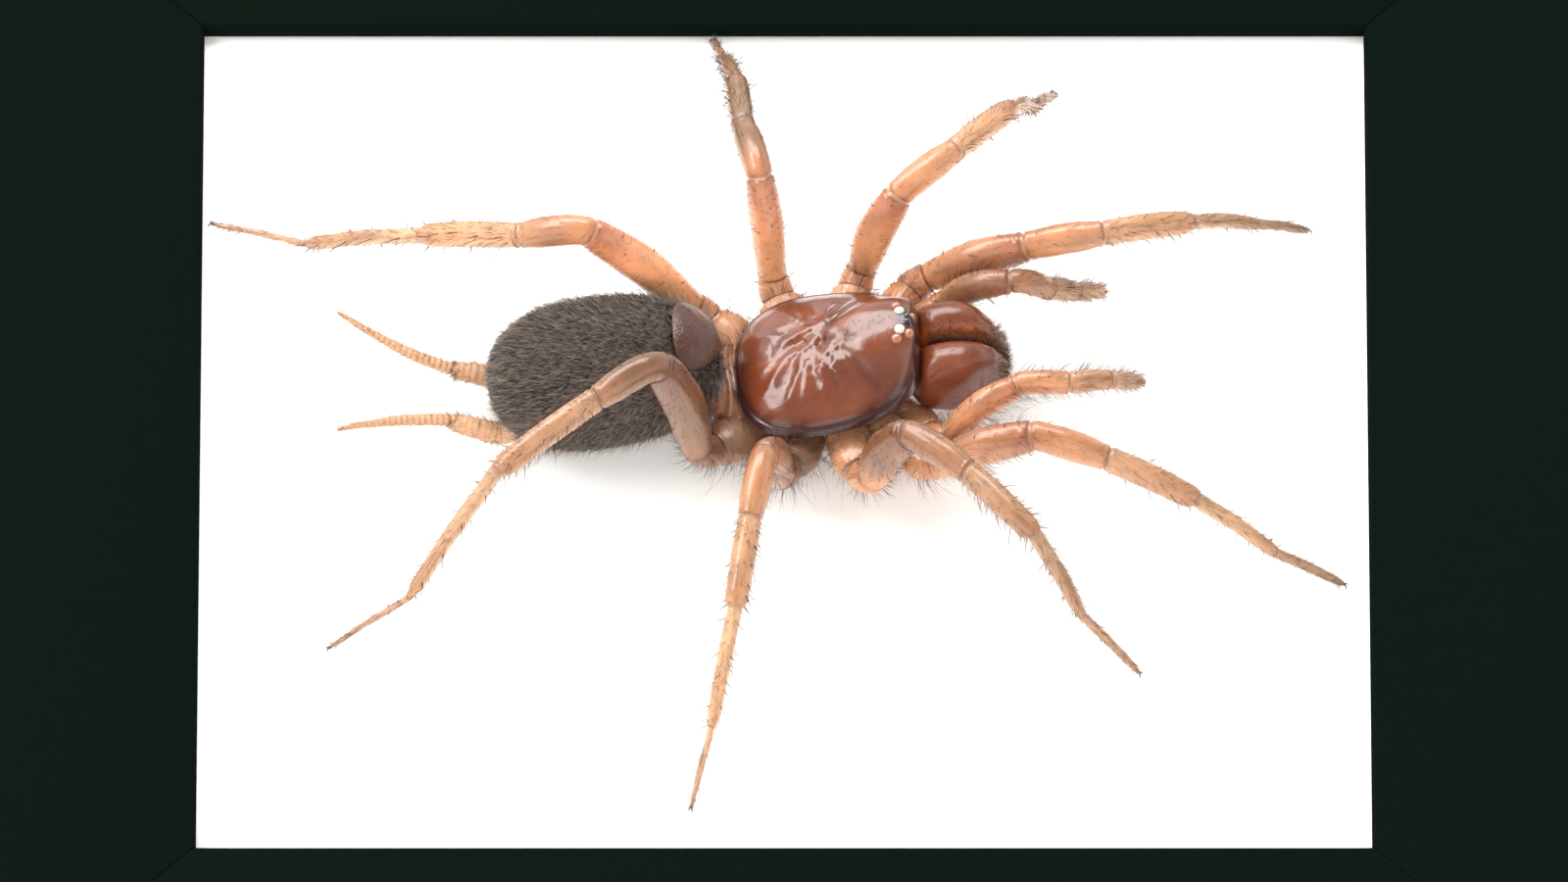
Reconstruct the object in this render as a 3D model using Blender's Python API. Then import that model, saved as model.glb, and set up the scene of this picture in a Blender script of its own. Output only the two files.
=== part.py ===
"""A dried funnel-web spider standing on a white board in a dark picture frame.

Lengths below are millimetres and angles are degrees; every mesh is written in metres.
The board lies flat with its face up. The spider's head points along +X and its left side
faces +Y. All the legs are posed segment by segment, from a turn and a rise for each.
"""

import math

import bmesh
import bpy
from mathutils import Matrix, Vector

MM = 0.001
GAP = 0.3

# Frame and board
OPENING_X = 79.4
OPENING_Y = 68.8
RAIL_WIDTH = 16.0
RAIL_DEPTH = 12.0
LIP_RISE = 1.5
GROOVE_DEEP = 4.0
BOARD_THICK = 3.0
BOARD_FACE = RAIL_DEPTH - LIP_RISE
OUTER_CHAMFER = 0.8
SIGHT_CHAMFER = 0.3

# Where the spider stands on the board, and which way it faces
BODY_X = 3.0
BODY_Y = 2.4
LEGS_YAW = 2.0
HEAD_YAW = 4.0
HEAD_PITCH = 10.0

# Shield over the head and chest
SHIELD_HALF_LENGTH = 6.45
SHIELD_HALF_WIDTH = 5.75
SHIELD_SQUARENESS = 2.45
SHIELD_FRONT_SQUARENESS = 2.7
SHIELD_TAPER = 0.08
SHIELD_MARGIN_Z = 6.3
SHIELD_RIM = 0.35
DOME_RISE = 2.0
HEAD_RISE = 1.5
HEAD_HALF_WIDTH = 2.9
HEAD_DRIFT = 0.1
FACE_STEEPNESS = 14.0
FACE_HALF_WIDTH = 3.3
FACE_LEAN = 0.18
FACE_CORNER = 0.35
EYE_MOUND_X = 5.4
EYE_MOUND_RISE = 0.3
GROOVE_TURNS = (38.0, 78.0, 108.0, 140.0)
RADIAL_GROOVE = 0.16
SHIELD_SIDES = 36
PIT_DEPTH = 0.35
SHIELD_UNDERSIDE = ((0.5, 0.4), (0.88, 0.1), (0.97, -SHIELD_RIM), (1.0, -0.7 * SHIELD_RIM))
SHIELD_RINGS = (0.12, 0.26, 0.42, 0.58, 0.72, 0.82, 0.89, 0.94, 0.975, 1.0)

# Plate between the leg bases
STERNUM_LENGTH = 6.4
STERNUM_WIDTH = 4.4
STERNUM_STATIONS = ((2.7, 0.6), (2.9, 0.85), (3.3, 1.0), (4.5, 0.95))
STERNUM_SIDES = 20

# Abdomen and its hard front plate
ABDOMEN_BACK = 15.1
ABDOMEN_HALF_LENGTH = 7.75
ABDOMEN_RADIUS = 4.9
ABDOMEN_Z = 6.0
ABDOMEN_PITCH = 10.0
ABDOMEN_BLUNTNESS = 2.35
ABDOMEN_STEPS = 15
ABDOMEN_SIDES = 20
STALK_FRONT = (-3.9, 0.0, 2.8)
STALK_BACK = (-9.5, 0.0, 4.6)
STALK_STATIONS = ((0.03, 0.39), (0.35, 0.55), (0.6, 0.6), (1.0, 1.05))
STALK_SIDES = 10
PLATE_THICK = 0.35
PLATE_SPREAD = 48.0
PLATE_FRONT = 0.99
PLATE_BACK = 0.66
PLATE_CORNER = 0.9
PLATE_STEPS = 6
PLATE_SIDES = 10

# Jaws: stations along the jaw as (x, half width, bottom, top)
JAW_SHIFT = 0.2
JAW_END_Z = 5.1
JAW_STATIONS = (
    (5.5, 0.9, 4.8, 6.0),
    (6.45, 1.35, 4.2, 6.3),
    (6.75, 1.5, 3.7, 8.2),
    (7.5, 1.57, 3.3, 8.9),
    (8.6, 1.58, 3.1, 9.05),
    (9.5, 1.48, 2.95, 8.9),
    (10.4, 1.28, 2.95, 8.5),
    (11.2, 1.08, 3.1, 7.7),
    (11.8, 0.85, 3.35, 6.7),
    (12.2, 0.5, 3.9, 5.8),
)
FANG_MIDDLE = 1.2
FANG_STATIONS = (
    (11.4, 4.3, 0.55),
    (11.5, 3.1, 0.5),
    (10.8, 2.5, 0.36),
    (9.8, 2.3, 0.22),
    (8.9, 2.4, 0.08),
)

# Legs: where each leaves the body, its hip, and its segment lengths from femur to tarsus
HIP_Z = 5.0
LEG_ROOTS = {1: (2.9, 2.9, 4.2), 2: (0.8, 3.1, 4.0), 3: (-1.6, 3.0, 3.5), 4: (-4.0, 1.9, 2.9)}
LEG_HIPS = {1: (7.0, 7.9), 2: (2.6, 8.8), 3: (-3.5, 8.3), 4: (-9.0, 6.0)}
LEG_LENGTHS = {
    1: (7.8, 5.2, 6.8, 6.6, 5.1),
    2: (7.3, 5.2, 6.4, 7.4, 5.8),
    3: (8.6, 4.6, 6.3, 8.3, 5.5),
    4: (11.5, 4.9, 8.4, 11.2, 6.8),
}
# Turn outwards from straight ahead for each segment, then rise for all but the tarsus
LEG_POSES = {
    (1, "left"): ((-3, 4, 19, 31, 23), (29, 8, -16, -38)),
    (2, "left"): ((28, 41, 49, 67, 69), (67, 1, -15, -51)),
    (3, "left"): ((104, 102, 93, 96, 98), (68, -10, -24, -43)),
    (4, "left"): ((178, 168, 154, 151, 157), (51, -22, -29, -36)),
    (1, "right"): ((5, 14, 20, 23, 17), (31, -14, -18, -30)),
    (2, "right"): ((24, 41, 47, 37, 29), (68, -2, -9, -58)),
    (3, "right"): ((109, 104, 102, 106, 110), (62, -18, -22, -38)),
    (4, "right"): ((168, 153, 149, 144, 169), (76, -14, -16, -47)),
}
TROCHANTER_LENGTH = 1.5
TARSUS_TIP_Z = 0.45

# Palps, the short limbs beside the jaws
PALP_ROOT = (4.9, 1.4, 2.7)
PALP_HIP = (7.9, 5.6, 5.2)
PALP_LENGTHS = (6.5, 3.4, 2.9, 2.7)
PALP_POSES = {
    "left": ((-13, 22, 28, 25), (38, -45, -40, -31)),
    "right": ((-15, -3, -8, -15), (38, -6, -7, -29)),
}

# Cross sections along a limb: share of the segment's length, half width, half depth
LEG_SHAPE = (
    ((0.0, 0.7, 0.8), (0.3, 1.05, 0.95), (0.75, 1.2, 1.25)),
    ((0.0, 1.0, 1.1), (0.5, 1.15, 1.2)),
    ((0.0, 0.95, 1.05), (0.2, 1.05, 1.3), (0.55, 1.15, 1.5), (0.85, 1.05, 1.35)),
    ((0.0, 0.92, 1.08), (0.35, 1.0, 1.2), (0.7, 1.0, 1.15)),
    ((0.0, 0.8, 0.92), (0.3, 0.86, 1.0), (0.7, 0.84, 0.95), (0.93, 0.8, 0.85)),
    ((0.0, 0.52, 0.55), (0.4, 0.52, 0.56), (0.9, 0.46, 0.5)),
    ((0.0, 0.36, 0.38), (0.4, 0.34, 0.36), (0.8, 0.3, 0.32), (0.97, 0.22, 0.24)),
)
PALP_SHAPE = (
    ((0.0, 0.5, 0.6), (0.5, 0.7, 0.7)),
    ((0.0, 0.68, 0.72), (0.5, 0.76, 0.8)),
    ((0.0, 0.72, 0.8), (0.3, 0.9, 1.1), (0.7, 0.92, 1.12)),
    ((0.0, 0.78, 0.82), (0.5, 0.84, 0.9)),
    ((0.0, 0.74, 0.78), (0.5, 0.78, 0.82)),
    ((0.0, 0.62, 0.65), (0.4, 0.62, 0.64), (0.8, 0.5, 0.52), (0.97, 0.3, 0.32)),
)
COXA_WIDTH = {1: 0.95, 2: 1.25, 3: 1.4, 4: 1.3}
FINE_TARSUS = {1: 1.0, 2: 0.9, 3: 0.62, 4: 0.62}
LIMB_SIDES = 10
JAW_SIDES = 14

# Spinnerets: stations as (x, y, z, radius), y for the left one
SPINNERETS = {
    "left": (
        (-21.2, 2.2, 3.2, 0.7), (-22.5, 2.4, 2.5, 0.76), (-23.7, 2.5, 2.7, 0.76), (-25.1, 2.7, 2.9, 0.6),
        (-25.6, 2.8, 3.0, 0.42), (-28.2, 3.6, 3.7, 0.4), (-31.0, 4.9, 4.6, 0.26), (-33.2, 6.1, 5.4, 0.12),
    ),
    "right": (
        (-20.9, -2.2, 3.2, 0.7), (-22.2, -2.3, 2.4, 0.76), (-23.8, -2.2, 2.8, 0.76), (-25.4, -1.9, 3.2, 0.6),
        (-25.9, -1.8, 3.4, 0.42), (-28.6, -2.0, 3.8, 0.4), (-31.3, -2.6, 4.3, 0.26), (-33.5, -3.2, 4.6, 0.12),
    ),
}
SPINNERET_SIDES = 8

COLOURS = {
    "frame": (0.006, 0.011, 0.008, 0.6),
    "board": (0.9, 0.9, 0.9, 0.7),
    "shield": (0.22, 0.055, 0.025, 0.25),
    "jaw": (0.2, 0.05, 0.018, 0.3),
    "underside": (0.5, 0.24, 0.11, 0.45),
    "limb": (0.55, 0.26, 0.12, 0.4),
    "palp": (0.5, 0.22, 0.1, 0.45),
    "abdomen": (0.07, 0.055, 0.045, 0.9),
    "plate": (0.07, 0.025, 0.02, 0.3),
    "spinneret": (0.65, 0.33, 0.17, 0.5),
}


def clear_scene():
    """Remove whatever the new file opened with."""
    for item in list(bpy.data.objects):
        bpy.data.objects.remove(item, do_unlink=True)


def material(name):
    """One Principled material for each part's finish."""
    found = bpy.data.materials.get(name)
    if found:
        return found
    red, green, blue, rough = COLOURS[name]
    made = bpy.data.materials.new(name)
    made.use_nodes = True
    shader = made.node_tree.nodes["Principled BSDF"]
    shader.inputs["Base Color"].default_value = (red, green, blue, 1.0)
    shader.inputs["Roughness"].default_value = rough
    shader.inputs["Metallic"].default_value = 0.0
    return made


def make_object(name, bm, finish, placing=None, smooth=True):
    """Turn a mesh built in millimetres into an object in metres."""
    bmesh.ops.recalc_face_normals(bm, faces=bm.faces)
    bm.transform(Matrix.Scale(MM, 4))
    mesh = bpy.data.meshes.new(name)
    bm.to_mesh(mesh)
    bm.free()
    mesh.materials.append(material(finish))
    if smooth:
        mesh.shade_smooth()
        mesh.set_sharp_from_angle(angle=math.radians(50))
    item = bpy.data.objects.new(name, mesh)
    bpy.context.scene.collection.objects.link(item)
    if placing:
        item.matrix_world = placing
    return item


def stand_on_board(yaw, pitch=0.0, raised=0.0):
    """Place a mesh built about the body's middle, with Z up from the board's face."""
    place = Matrix.Translation(Vector((BODY_X, BODY_Y, BOARD_FACE + raised)) * MM)
    turn = Matrix.Rotation(math.radians(yaw), 4, "Z")
    tip = Matrix.Rotation(math.radians(-pitch), 4, "Y")
    return place @ turn @ tip


def skin(bm, rings, first_pole, last_pole):
    """Join rings of points into one closed tube that ends at two poles."""
    made = [[bm.verts.new(point) for point in ring] for ring in rings]
    count = len(made[0])
    for lower, upper in zip(made, made[1:]):
        for i in range(count):
            j = (i + 1) % count
            bm.faces.new((lower[i], lower[j], upper[j], upper[i]))
    start = bm.verts.new(first_pole)
    end = bm.verts.new(last_pole)
    for i in range(count):
        j = (i + 1) % count
        bm.faces.new((start, made[0][j], made[0][i]))
        bm.faces.new((end, made[-1][i], made[-1][j]))


def oval(middle, across, up, half_width, half_depth, sides):
    """Points of an oval ring, counter-clockwise seen from its tip side."""
    points = []
    for i in range(sides):
        turn = 2.0 * math.pi * i / sides
        points.append(middle + across * (half_width * math.cos(turn)) + up * (half_depth * math.sin(turn)))
    return points


def frame_rail(name, half_opening, offset, turned):
    """One mitred rail, with a groove that holds the board's edge."""
    groove_low = BOARD_FACE - BOARD_THICK - GAP
    groove_high = BOARD_FACE + GAP
    groove_out = GROOVE_DEEP + GAP
    profile = (
        (0.0, groove_high), (0.0, RAIL_DEPTH - SIGHT_CHAMFER), (SIGHT_CHAMFER, RAIL_DEPTH),
        (RAIL_WIDTH - OUTER_CHAMFER, RAIL_DEPTH), (RAIL_WIDTH, RAIL_DEPTH - OUTER_CHAMFER),
        (RAIL_WIDTH, 0.0), (0.0, 0.0), (0.0, groove_low), (groove_out, groove_low), (groove_out, groove_high),
    )
    pull_back = GAP / math.sqrt(2.0)
    bm = bmesh.new()
    ends = []
    for side in (-1.0, 1.0):
        end = []
        for out, z in profile:
            end.append(bm.verts.new((side * (half_opening + out - pull_back), offset + out, z)))
        ends.append(end)
    count = len(profile)
    for i in range(count):
        j = (i + 1) % count
        bm.faces.new((ends[0][i], ends[1][i], ends[1][j], ends[0][j]))
    caps = [bm.faces.new(ends[0]), bm.faces.new(reversed(ends[1]))]
    bm.normal_update()
    bmesh.ops.triangulate(bm, faces=caps, ngon_method="EAR_CLIP")
    make_object(name, bm, "frame", Matrix.Rotation(math.radians(turned), 4, "Z"), smooth=False)


def build_frame():
    """Four rails round the board's opening."""
    frame_rail("frame_rail_back", OPENING_X / 2, OPENING_Y / 2, 0)
    frame_rail("frame_rail_left", OPENING_Y / 2, OPENING_X / 2, 90)
    frame_rail("frame_rail_front", OPENING_X / 2, OPENING_Y / 2, 180)
    frame_rail("frame_rail_right", OPENING_Y / 2, OPENING_X / 2, 270)


def build_board():
    """The white board that the spider stands on."""
    bm = bmesh.new()
    size = (OPENING_X + 2 * GROOVE_DEEP, OPENING_Y + 2 * GROOVE_DEEP, BOARD_THICK)
    bmesh.ops.create_cube(bm, size=1.0)
    bmesh.ops.scale(bm, vec=size, verts=bm.verts)
    bmesh.ops.translate(bm, vec=(0, 0, BOARD_FACE - BOARD_THICK / 2), verts=bm.verts)
    make_object("backing_board", bm, "board", smooth=False)


def power(value, exponent):
    """Power that keeps the value's sign."""
    return math.copysign(abs(value) ** exponent, value)


def shield_outline(turn):
    """A point of the shield's outline, blunt behind and narrower in front."""
    squareness = SHIELD_FRONT_SQUARENESS if math.cos(turn) > 0.0 else SHIELD_SQUARENESS
    x = SHIELD_HALF_LENGTH * power(math.cos(turn), 2.0 / squareness)
    y = SHIELD_HALF_WIDTH * power(math.sin(turn), 2.0 / squareness)
    return x, y * (1.0 - SHIELD_TAPER * x / SHIELD_HALF_LENGTH)


def smooth_step(low, high, value):
    """Rise from 0 to 1 between two values."""
    t = min(max((value - low) / (high - low), 0.0), 1.0)
    return t * t * (3.0 - 2.0 * t)


def peak(value):
    """A rounded peak of height 1 about zero."""
    return math.exp(-value * value)


def shield_height(x, y, share):
    """Height above the margin: a dome, a raised head with a steep face, a central pit and radial grooves."""
    face = FACE_STEEPNESS * smooth_step(3.5, 6.0, x) * peak(y / FACE_HALF_WIDTH)
    steepness = 2.6 + 3.4 * smooth_step(0.0, SHIELD_HALF_LENGTH, x) + face
    inside = 1.0 - share ** (8.0 + face)
    height = DOME_RISE * (1.0 - share ** steepness)
    crown = math.exp(-((y - HEAD_DRIFT * x) / HEAD_HALF_WIDTH) ** 4)
    height += HEAD_RISE * smooth_step(-1.5, 3.5, x) * crown * inside
    height += EYE_MOUND_RISE * peak((x - EYE_MOUND_X) / 0.8) * peak(y / 1.1) * inside
    height -= PIT_DEPTH * peak(x / 0.5) * peak(y / 0.9)
    reach = math.hypot(x, y)
    for turn in GROOVE_TURNS:
        bearing = math.radians(turn)
        along = x * math.cos(bearing) + abs(y) * math.sin(bearing)
        across = -x * math.sin(bearing) + abs(y) * math.cos(bearing)
        if along > 0.0:
            fade = smooth_step(0.3, 1.4, reach) * (1.0 - smooth_step(0.6, 0.95, share))
            height -= RADIAL_GROOVE * fade * peak(across / 0.45)
    return height


def build_shield():
    """The domed shield, with a thick rim and a hollow underside."""
    rings = []
    for share in SHIELD_RINGS:
        ring = []
        for i in range(SHIELD_SIDES):
            edge_x, edge_y = shield_outline(2.0 * math.pi * i / SHIELD_SIDES)
            x = edge_x * share
            y = edge_y * share
            z = shield_height(x, y, share)
            ahead = FACE_LEAN * z + FACE_CORNER * smooth_step(0.5, 3.0, y)
            ring.append((x + ahead * smooth_step(3.5, 6.0, x), y, z))
        rings.append(ring)
    rings.reverse()
    under = []
    for share, z in SHIELD_UNDERSIDE:
        ring = []
        for i in range(SHIELD_SIDES):
            edge_x, edge_y = shield_outline(2.0 * math.pi * i / SHIELD_SIDES)
            ring.append((edge_x * share, edge_y * share, z))
        under.append(ring)
    bm = bmesh.new()
    skin(bm, under + rings, (0, 0, SHIELD_UNDERSIDE[0][1]), (0, 0, shield_height(0, 0, 0)))
    make_object("carapace", bm, "shield", stand_on_board(HEAD_YAW, HEAD_PITCH, SHIELD_MARGIN_Z))


def build_sternum():
    """The plate under the chest, between the leg bases."""
    bm = bmesh.new()
    ahead = Vector((1.0, 0.0, 0.0))
    across = Vector((0.0, 1.0, 0.0))
    rings = []
    for z, share in STERNUM_STATIONS:
        half_length = STERNUM_LENGTH / 2 * share
        half_width = STERNUM_WIDTH / 2 * share
        rings.append(oval(Vector((0.0, 0.0, z)), ahead, across, half_length, half_width, STERNUM_SIDES))
    skin(bm, rings, (0, 0, STERNUM_STATIONS[0][0] - 0.05), (0, 0, STERNUM_STATIONS[-1][0]))
    make_object("sternum", bm, "underside", stand_on_board(HEAD_YAW))


def abdomen_point(along, turn, outwards=0.0):
    """A point of the abdomen's skin; along runs from -1 at the rear to 1 at the front."""
    along = min(max(along, -1.0), 1.0)
    fullness = (1.0 - abs(along) ** ABDOMEN_BLUNTNESS) ** (1.0 / ABDOMEN_BLUNTNESS)
    radius = ABDOMEN_RADIUS * fullness * (1.0 - 0.05 * along)
    x = ABDOMEN_HALF_LENGTH * along
    slope = Vector((x / ABDOMEN_HALF_LENGTH ** 2, math.cos(turn) * fullness / ABDOMEN_RADIUS,
                    math.sin(turn) * fullness / ABDOMEN_RADIUS))
    if slope.length > 0.0:
        slope.normalize()
    return Vector((x, radius * math.cos(turn), radius * math.sin(turn))) + slope * outwards


def abdomen_placing():
    """The abdomen hangs behind the chest, with its rear end lower."""
    body = stand_on_board(LEGS_YAW)
    tip = Matrix.Rotation(math.radians(-ABDOMEN_PITCH), 4, "Y")
    return body @ Matrix.Translation(Vector((-ABDOMEN_BACK, 0, ABDOMEN_Z)) * MM) @ tip


def abdomen_body(name, outwards):
    """The round abdomen, or the same form grown outwards."""
    bm = bmesh.new()
    rings = []
    for k in range(1, ABDOMEN_STEPS):
        along = -math.cos(math.pi * k / ABDOMEN_STEPS)
        turns = [2.0 * math.pi * i / ABDOMEN_SIDES for i in range(ABDOMEN_SIDES)]
        rings.append([abdomen_point(along, turn, outwards) for turn in turns])
    reach = ABDOMEN_HALF_LENGTH + outwards
    skin(bm, rings, (-reach, 0, 0), (reach, 0, 0))
    return make_object(name, bm, "abdomen", abdomen_placing())


def hide_tool(item):
    """Mark an object that only shapes another."""
    item.hide_render = True
    item.display_type = "WIRE"
    return item


def combine(item, tool, operation):
    """Join a tool to an object, or cut it away."""
    step = item.modifiers.new(operation.lower(), "BOOLEAN")
    step.operation = operation
    step.solver = "EXACT"
    step.object = tool


def build_abdomen():
    """The abdomen and, joined on below its front, the narrow waist."""
    abdomen = abdomen_body("abdomen", 0.0)
    combine(abdomen, build_waist(), "UNION")


def build_waist():
    """The stalk that carries the abdomen, hidden once it is joined on."""
    start = Vector(STALK_FRONT)
    end = Vector(STALK_BACK)
    ahead = (end - start).normalized()
    across = Vector((0.0, -1.0, 0.0))
    up = ahead.cross(across)
    rings = []
    for share, radius in STALK_STATIONS:
        rings.append(oval(start.lerp(end, share), across, up, radius, radius, STALK_SIDES))
    bm = bmesh.new()
    skin(bm, rings, start, end + ahead * 0.3)
    return hide_tool(make_object("waist_tool", bm, "abdomen", stand_on_board(LEGS_YAW)))


def build_plate():
    """The hard plate over the abdomen's upper front end, 0.3 mm clear of its skin."""
    bm = bmesh.new()
    layers = []
    for outwards in (GAP, GAP + PLATE_THICK):
        grid = []
        for i in range(PLATE_STEPS + 1):
            share = i / PLATE_STEPS
            along = PLATE_BACK + (PLATE_FRONT - PLATE_BACK) * share
            corner = PLATE_CORNER * (2.0 * share - 1.0)
            rounding = math.sqrt(1.0 - PLATE_CORNER * corner * corner)
            row = []
            for j in range(PLATE_SIDES + 1):
                turn = math.radians(90.0 + PLATE_SPREAD * rounding * (2.0 * j / PLATE_SIDES - 1.0))
                row.append(bm.verts.new(abdomen_point(along, turn, outwards)))
            grid.append(row)
        layers.append(grid)
    inner, outer = layers
    for i in range(PLATE_STEPS):
        for j in range(PLATE_SIDES):
            bm.faces.new((outer[i][j], outer[i + 1][j], outer[i + 1][j + 1], outer[i][j + 1]))
            bm.faces.new((inner[i][j], inner[i][j + 1], inner[i + 1][j + 1], inner[i + 1][j]))
    edge = [(i, 0) for i in range(PLATE_STEPS)]
    edge += [(PLATE_STEPS, j) for j in range(PLATE_SIDES)]
    edge += [(i, PLATE_SIDES) for i in range(PLATE_STEPS, 0, -1)]
    edge += [(0, j) for j in range(PLATE_SIDES, 0, -1)]
    for here, there in zip(edge, edge[1:] + edge[:1]):
        bm.faces.new((inner[here[0]][here[1]], inner[there[0]][there[1]],
                      outer[there[0]][there[1]], outer[here[0]][here[1]]))
    make_object("dorsal_plate", bm, "plate", abdomen_placing())


def build_jaw(name, side):
    """One jaw with its fang folded under it."""
    across = Vector((0.0, 1.0, 0.0))
    up = Vector((0.0, 0.0, 1.0))
    rings = []
    for x, half_width, bottom, top in JAW_STATIONS:
        middle = Vector((x, side * (half_width + GAP / 2) + JAW_SHIFT, (bottom + top) / 2))
        rings.append(oval(middle, across, up, half_width, (top - bottom) / 2, JAW_SIDES))
    poles = []
    for station, beyond in ((JAW_STATIONS[0], -0.05), (JAW_STATIONS[-1], 0.15)):
        poles.append(Vector((station[0] + beyond, side * (station[1] + GAP / 2) + JAW_SHIFT, JAW_END_Z)))
    bm = bmesh.new()
    skin(bm, rings, poles[0], poles[1])
    jaw = make_object(name, bm, "jaw", stand_on_board(HEAD_YAW))
    fang_rings = []
    middles = [Vector((x, side * FANG_MIDDLE + JAW_SHIFT, z)) for x, z, radius in FANG_STATIONS]
    for k, (x, z, radius) in enumerate(FANG_STATIONS):
        ahead = middles[min(k + 1, len(middles) - 1)] - middles[max(k - 1, 0)]
        fang_up = ahead.normalized().cross(across)
        fang_rings.append(oval(middles[k], across, fang_up, radius, radius, 8))
    bm = bmesh.new()
    skin(bm, fang_rings, middles[0] + up * 0.2, middles[-1] + Vector((-0.15, 0.0, 0.05)))
    fang = hide_tool(make_object(name + "_fang_tool", bm, "jaw", stand_on_board(HEAD_YAW)))
    combine(jaw, fang, "UNION")


def heading(side, turn, rise):
    """Direction of a segment from its outward turn and its rise."""
    bearing = math.radians(side * turn)
    lift = math.radians(rise)
    return Vector((math.cos(lift) * math.cos(bearing), math.cos(lift) * math.sin(bearing), math.sin(lift)))


def limb_joints(side, root, hip, lengths, turns, rises):
    """Joint places from the limb's root to its tip."""
    first = heading(side, turns[0], rises[0])
    halfway = ((hip - root).normalized() + first).normalized()
    joints = [root, hip - halfway * TROCHANTER_LENGTH, hip]
    for length, turn, rise in zip(lengths, turns, rises):
        joints.append(joints[-1] + heading(side, turn, rise) * length)
    return joints


def limb_rings(joints, shape, coxa_width, slim_last):
    """Rings along a limb: square to each segment, and halving the angle at each joint."""
    ways = [(b - a).normalized() for a, b in zip(joints, joints[1:])]
    sideways = [Vector((-way.y, way.x, 0.0)).normalized() for way in ways]
    rings = []
    for k, stations in enumerate(shape):
        length = (joints[k + 1] - joints[k]).length
        slim = slim_last if k == len(shape) - 1 else 1.0
        broad = coxa_width if k == 0 else 1.0
        bend_in = ways[k - 1].angle(ways[k]) / 2 if k else 0.0
        bend_out = ways[k].angle(ways[k + 1]) / 2 if k + 1 < len(shape) else 0.0
        for share, half_width, half_depth in stations:
            middle = joints[k].lerp(joints[k + 1], share)
            way = ways[k]
            across = sideways[k]
            deeper = 1.0
            if share == 0.0 and k:
                way = (ways[k - 1] + ways[k]).normalized()
                across = sideways[k - 1] + sideways[k]
                deeper = min(1.0 / math.cos(bend_in), 1.2)
            else:
                keep = half_depth * math.tan(bend_in) + 0.25 if k else 0.0
                leave = half_depth * math.tan(bend_out) + 0.25 if k + 1 < len(shape) else 0.0
                travel = min(max(share * length, keep), length - leave)
                middle = joints[k] + ways[k] * (travel if share else 0.0)
            across = (across - way * across.dot(way)).normalized()
            wide = half_width * slim * broad
            deep = half_depth * slim * deeper
            rings.append(oval(middle, across, way.cross(across), wide, deep, LIMB_SIDES))
    return rings


def build_limb(name, finish, joints, shape, coxa_width=1.0, slim_last=1.0):
    """One limb as a single closed skin."""
    rings = limb_rings(joints, shape, coxa_width, slim_last)
    bm = bmesh.new()
    root_way = (joints[1] - joints[0]).normalized()
    skin(bm, rings, joints[0] - root_way * 0.15, joints[-1] + (joints[-1] - joints[-2]).normalized() * 0.05)
    make_object(name, bm, finish, stand_on_board(LEGS_YAW))


def build_legs():
    """Eight legs, four on each side."""
    for (number, word), (turns, rises) in LEG_POSES.items():
        side = 1.0 if word == "left" else -1.0
        root_x, root_y, root_z = LEG_ROOTS[number]
        hip_x, hip_y = LEG_HIPS[number]
        root = Vector((root_x, side * root_y, root_z))
        hip = Vector((hip_x, side * hip_y, HIP_Z))
        lengths = LEG_LENGTHS[number]
        joints = limb_joints(side, root, hip, lengths[:4], turns[:4], rises)
        drop = joints[-1].z - TARSUS_TIP_Z
        last_rise = -math.degrees(math.asin(drop / lengths[4]))
        joints.append(joints[-1] + heading(side, turns[4], last_rise) * lengths[4])
        build_limb(f"leg_{number}_{word}", "limb", joints, LEG_SHAPE, COXA_WIDTH[number], FINE_TARSUS[number])


def build_palps():
    """The two short limbs beside the jaws, held off the board."""
    for word, (turns, rises) in PALP_POSES.items():
        side = 1.0 if word == "left" else -1.0
        root = Vector((PALP_ROOT[0], side * PALP_ROOT[1], PALP_ROOT[2]))
        hip = Vector((PALP_HIP[0], side * PALP_HIP[1], PALP_HIP[2]))
        joints = limb_joints(side, root, hip, PALP_LENGTHS, turns, rises)
        build_limb(f"palp_{word}", "palp", joints, PALP_SHAPE)


def build_spinnerets():
    """Two long, tapering spinnerets, their bases cut clear of the abdomen's rear end."""
    clearance = hide_tool(abdomen_body("spinneret_clearance_tool", GAP))
    for word, stations in SPINNERETS.items():
        middles = [Vector(station[:3]) for station in stations]
        rings = []
        for k, station in enumerate(stations):
            ahead = (middles[min(k + 1, len(middles) - 1)] - middles[max(k - 1, 0)]).normalized()
            across = Vector((-ahead.y, ahead.x, 0.0)).normalized()
            up = ahead.cross(across)
            rings.append(oval(middles[k], across, up, station[3], station[3], SPINNERET_SIDES))
        bm = bmesh.new()
        skin(bm, rings, middles[0] + (middles[0] - middles[1]).normalized() * 0.05,
             middles[-1] + (middles[-1] - middles[-2]).normalized() * 0.1)
        spinneret = make_object(f"spinneret_{word}", bm, "spinneret", stand_on_board(LEGS_YAW))
        combine(spinneret, clearance, "DIFFERENCE")


clear_scene()
build_frame()
build_board()
build_shield()
build_sternum()
build_abdomen()
build_plate()
build_jaw("chelicera_left", 1.0)
build_jaw("chelicera_right", -1.0)
build_legs()
build_palps()
build_spinnerets()
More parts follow.
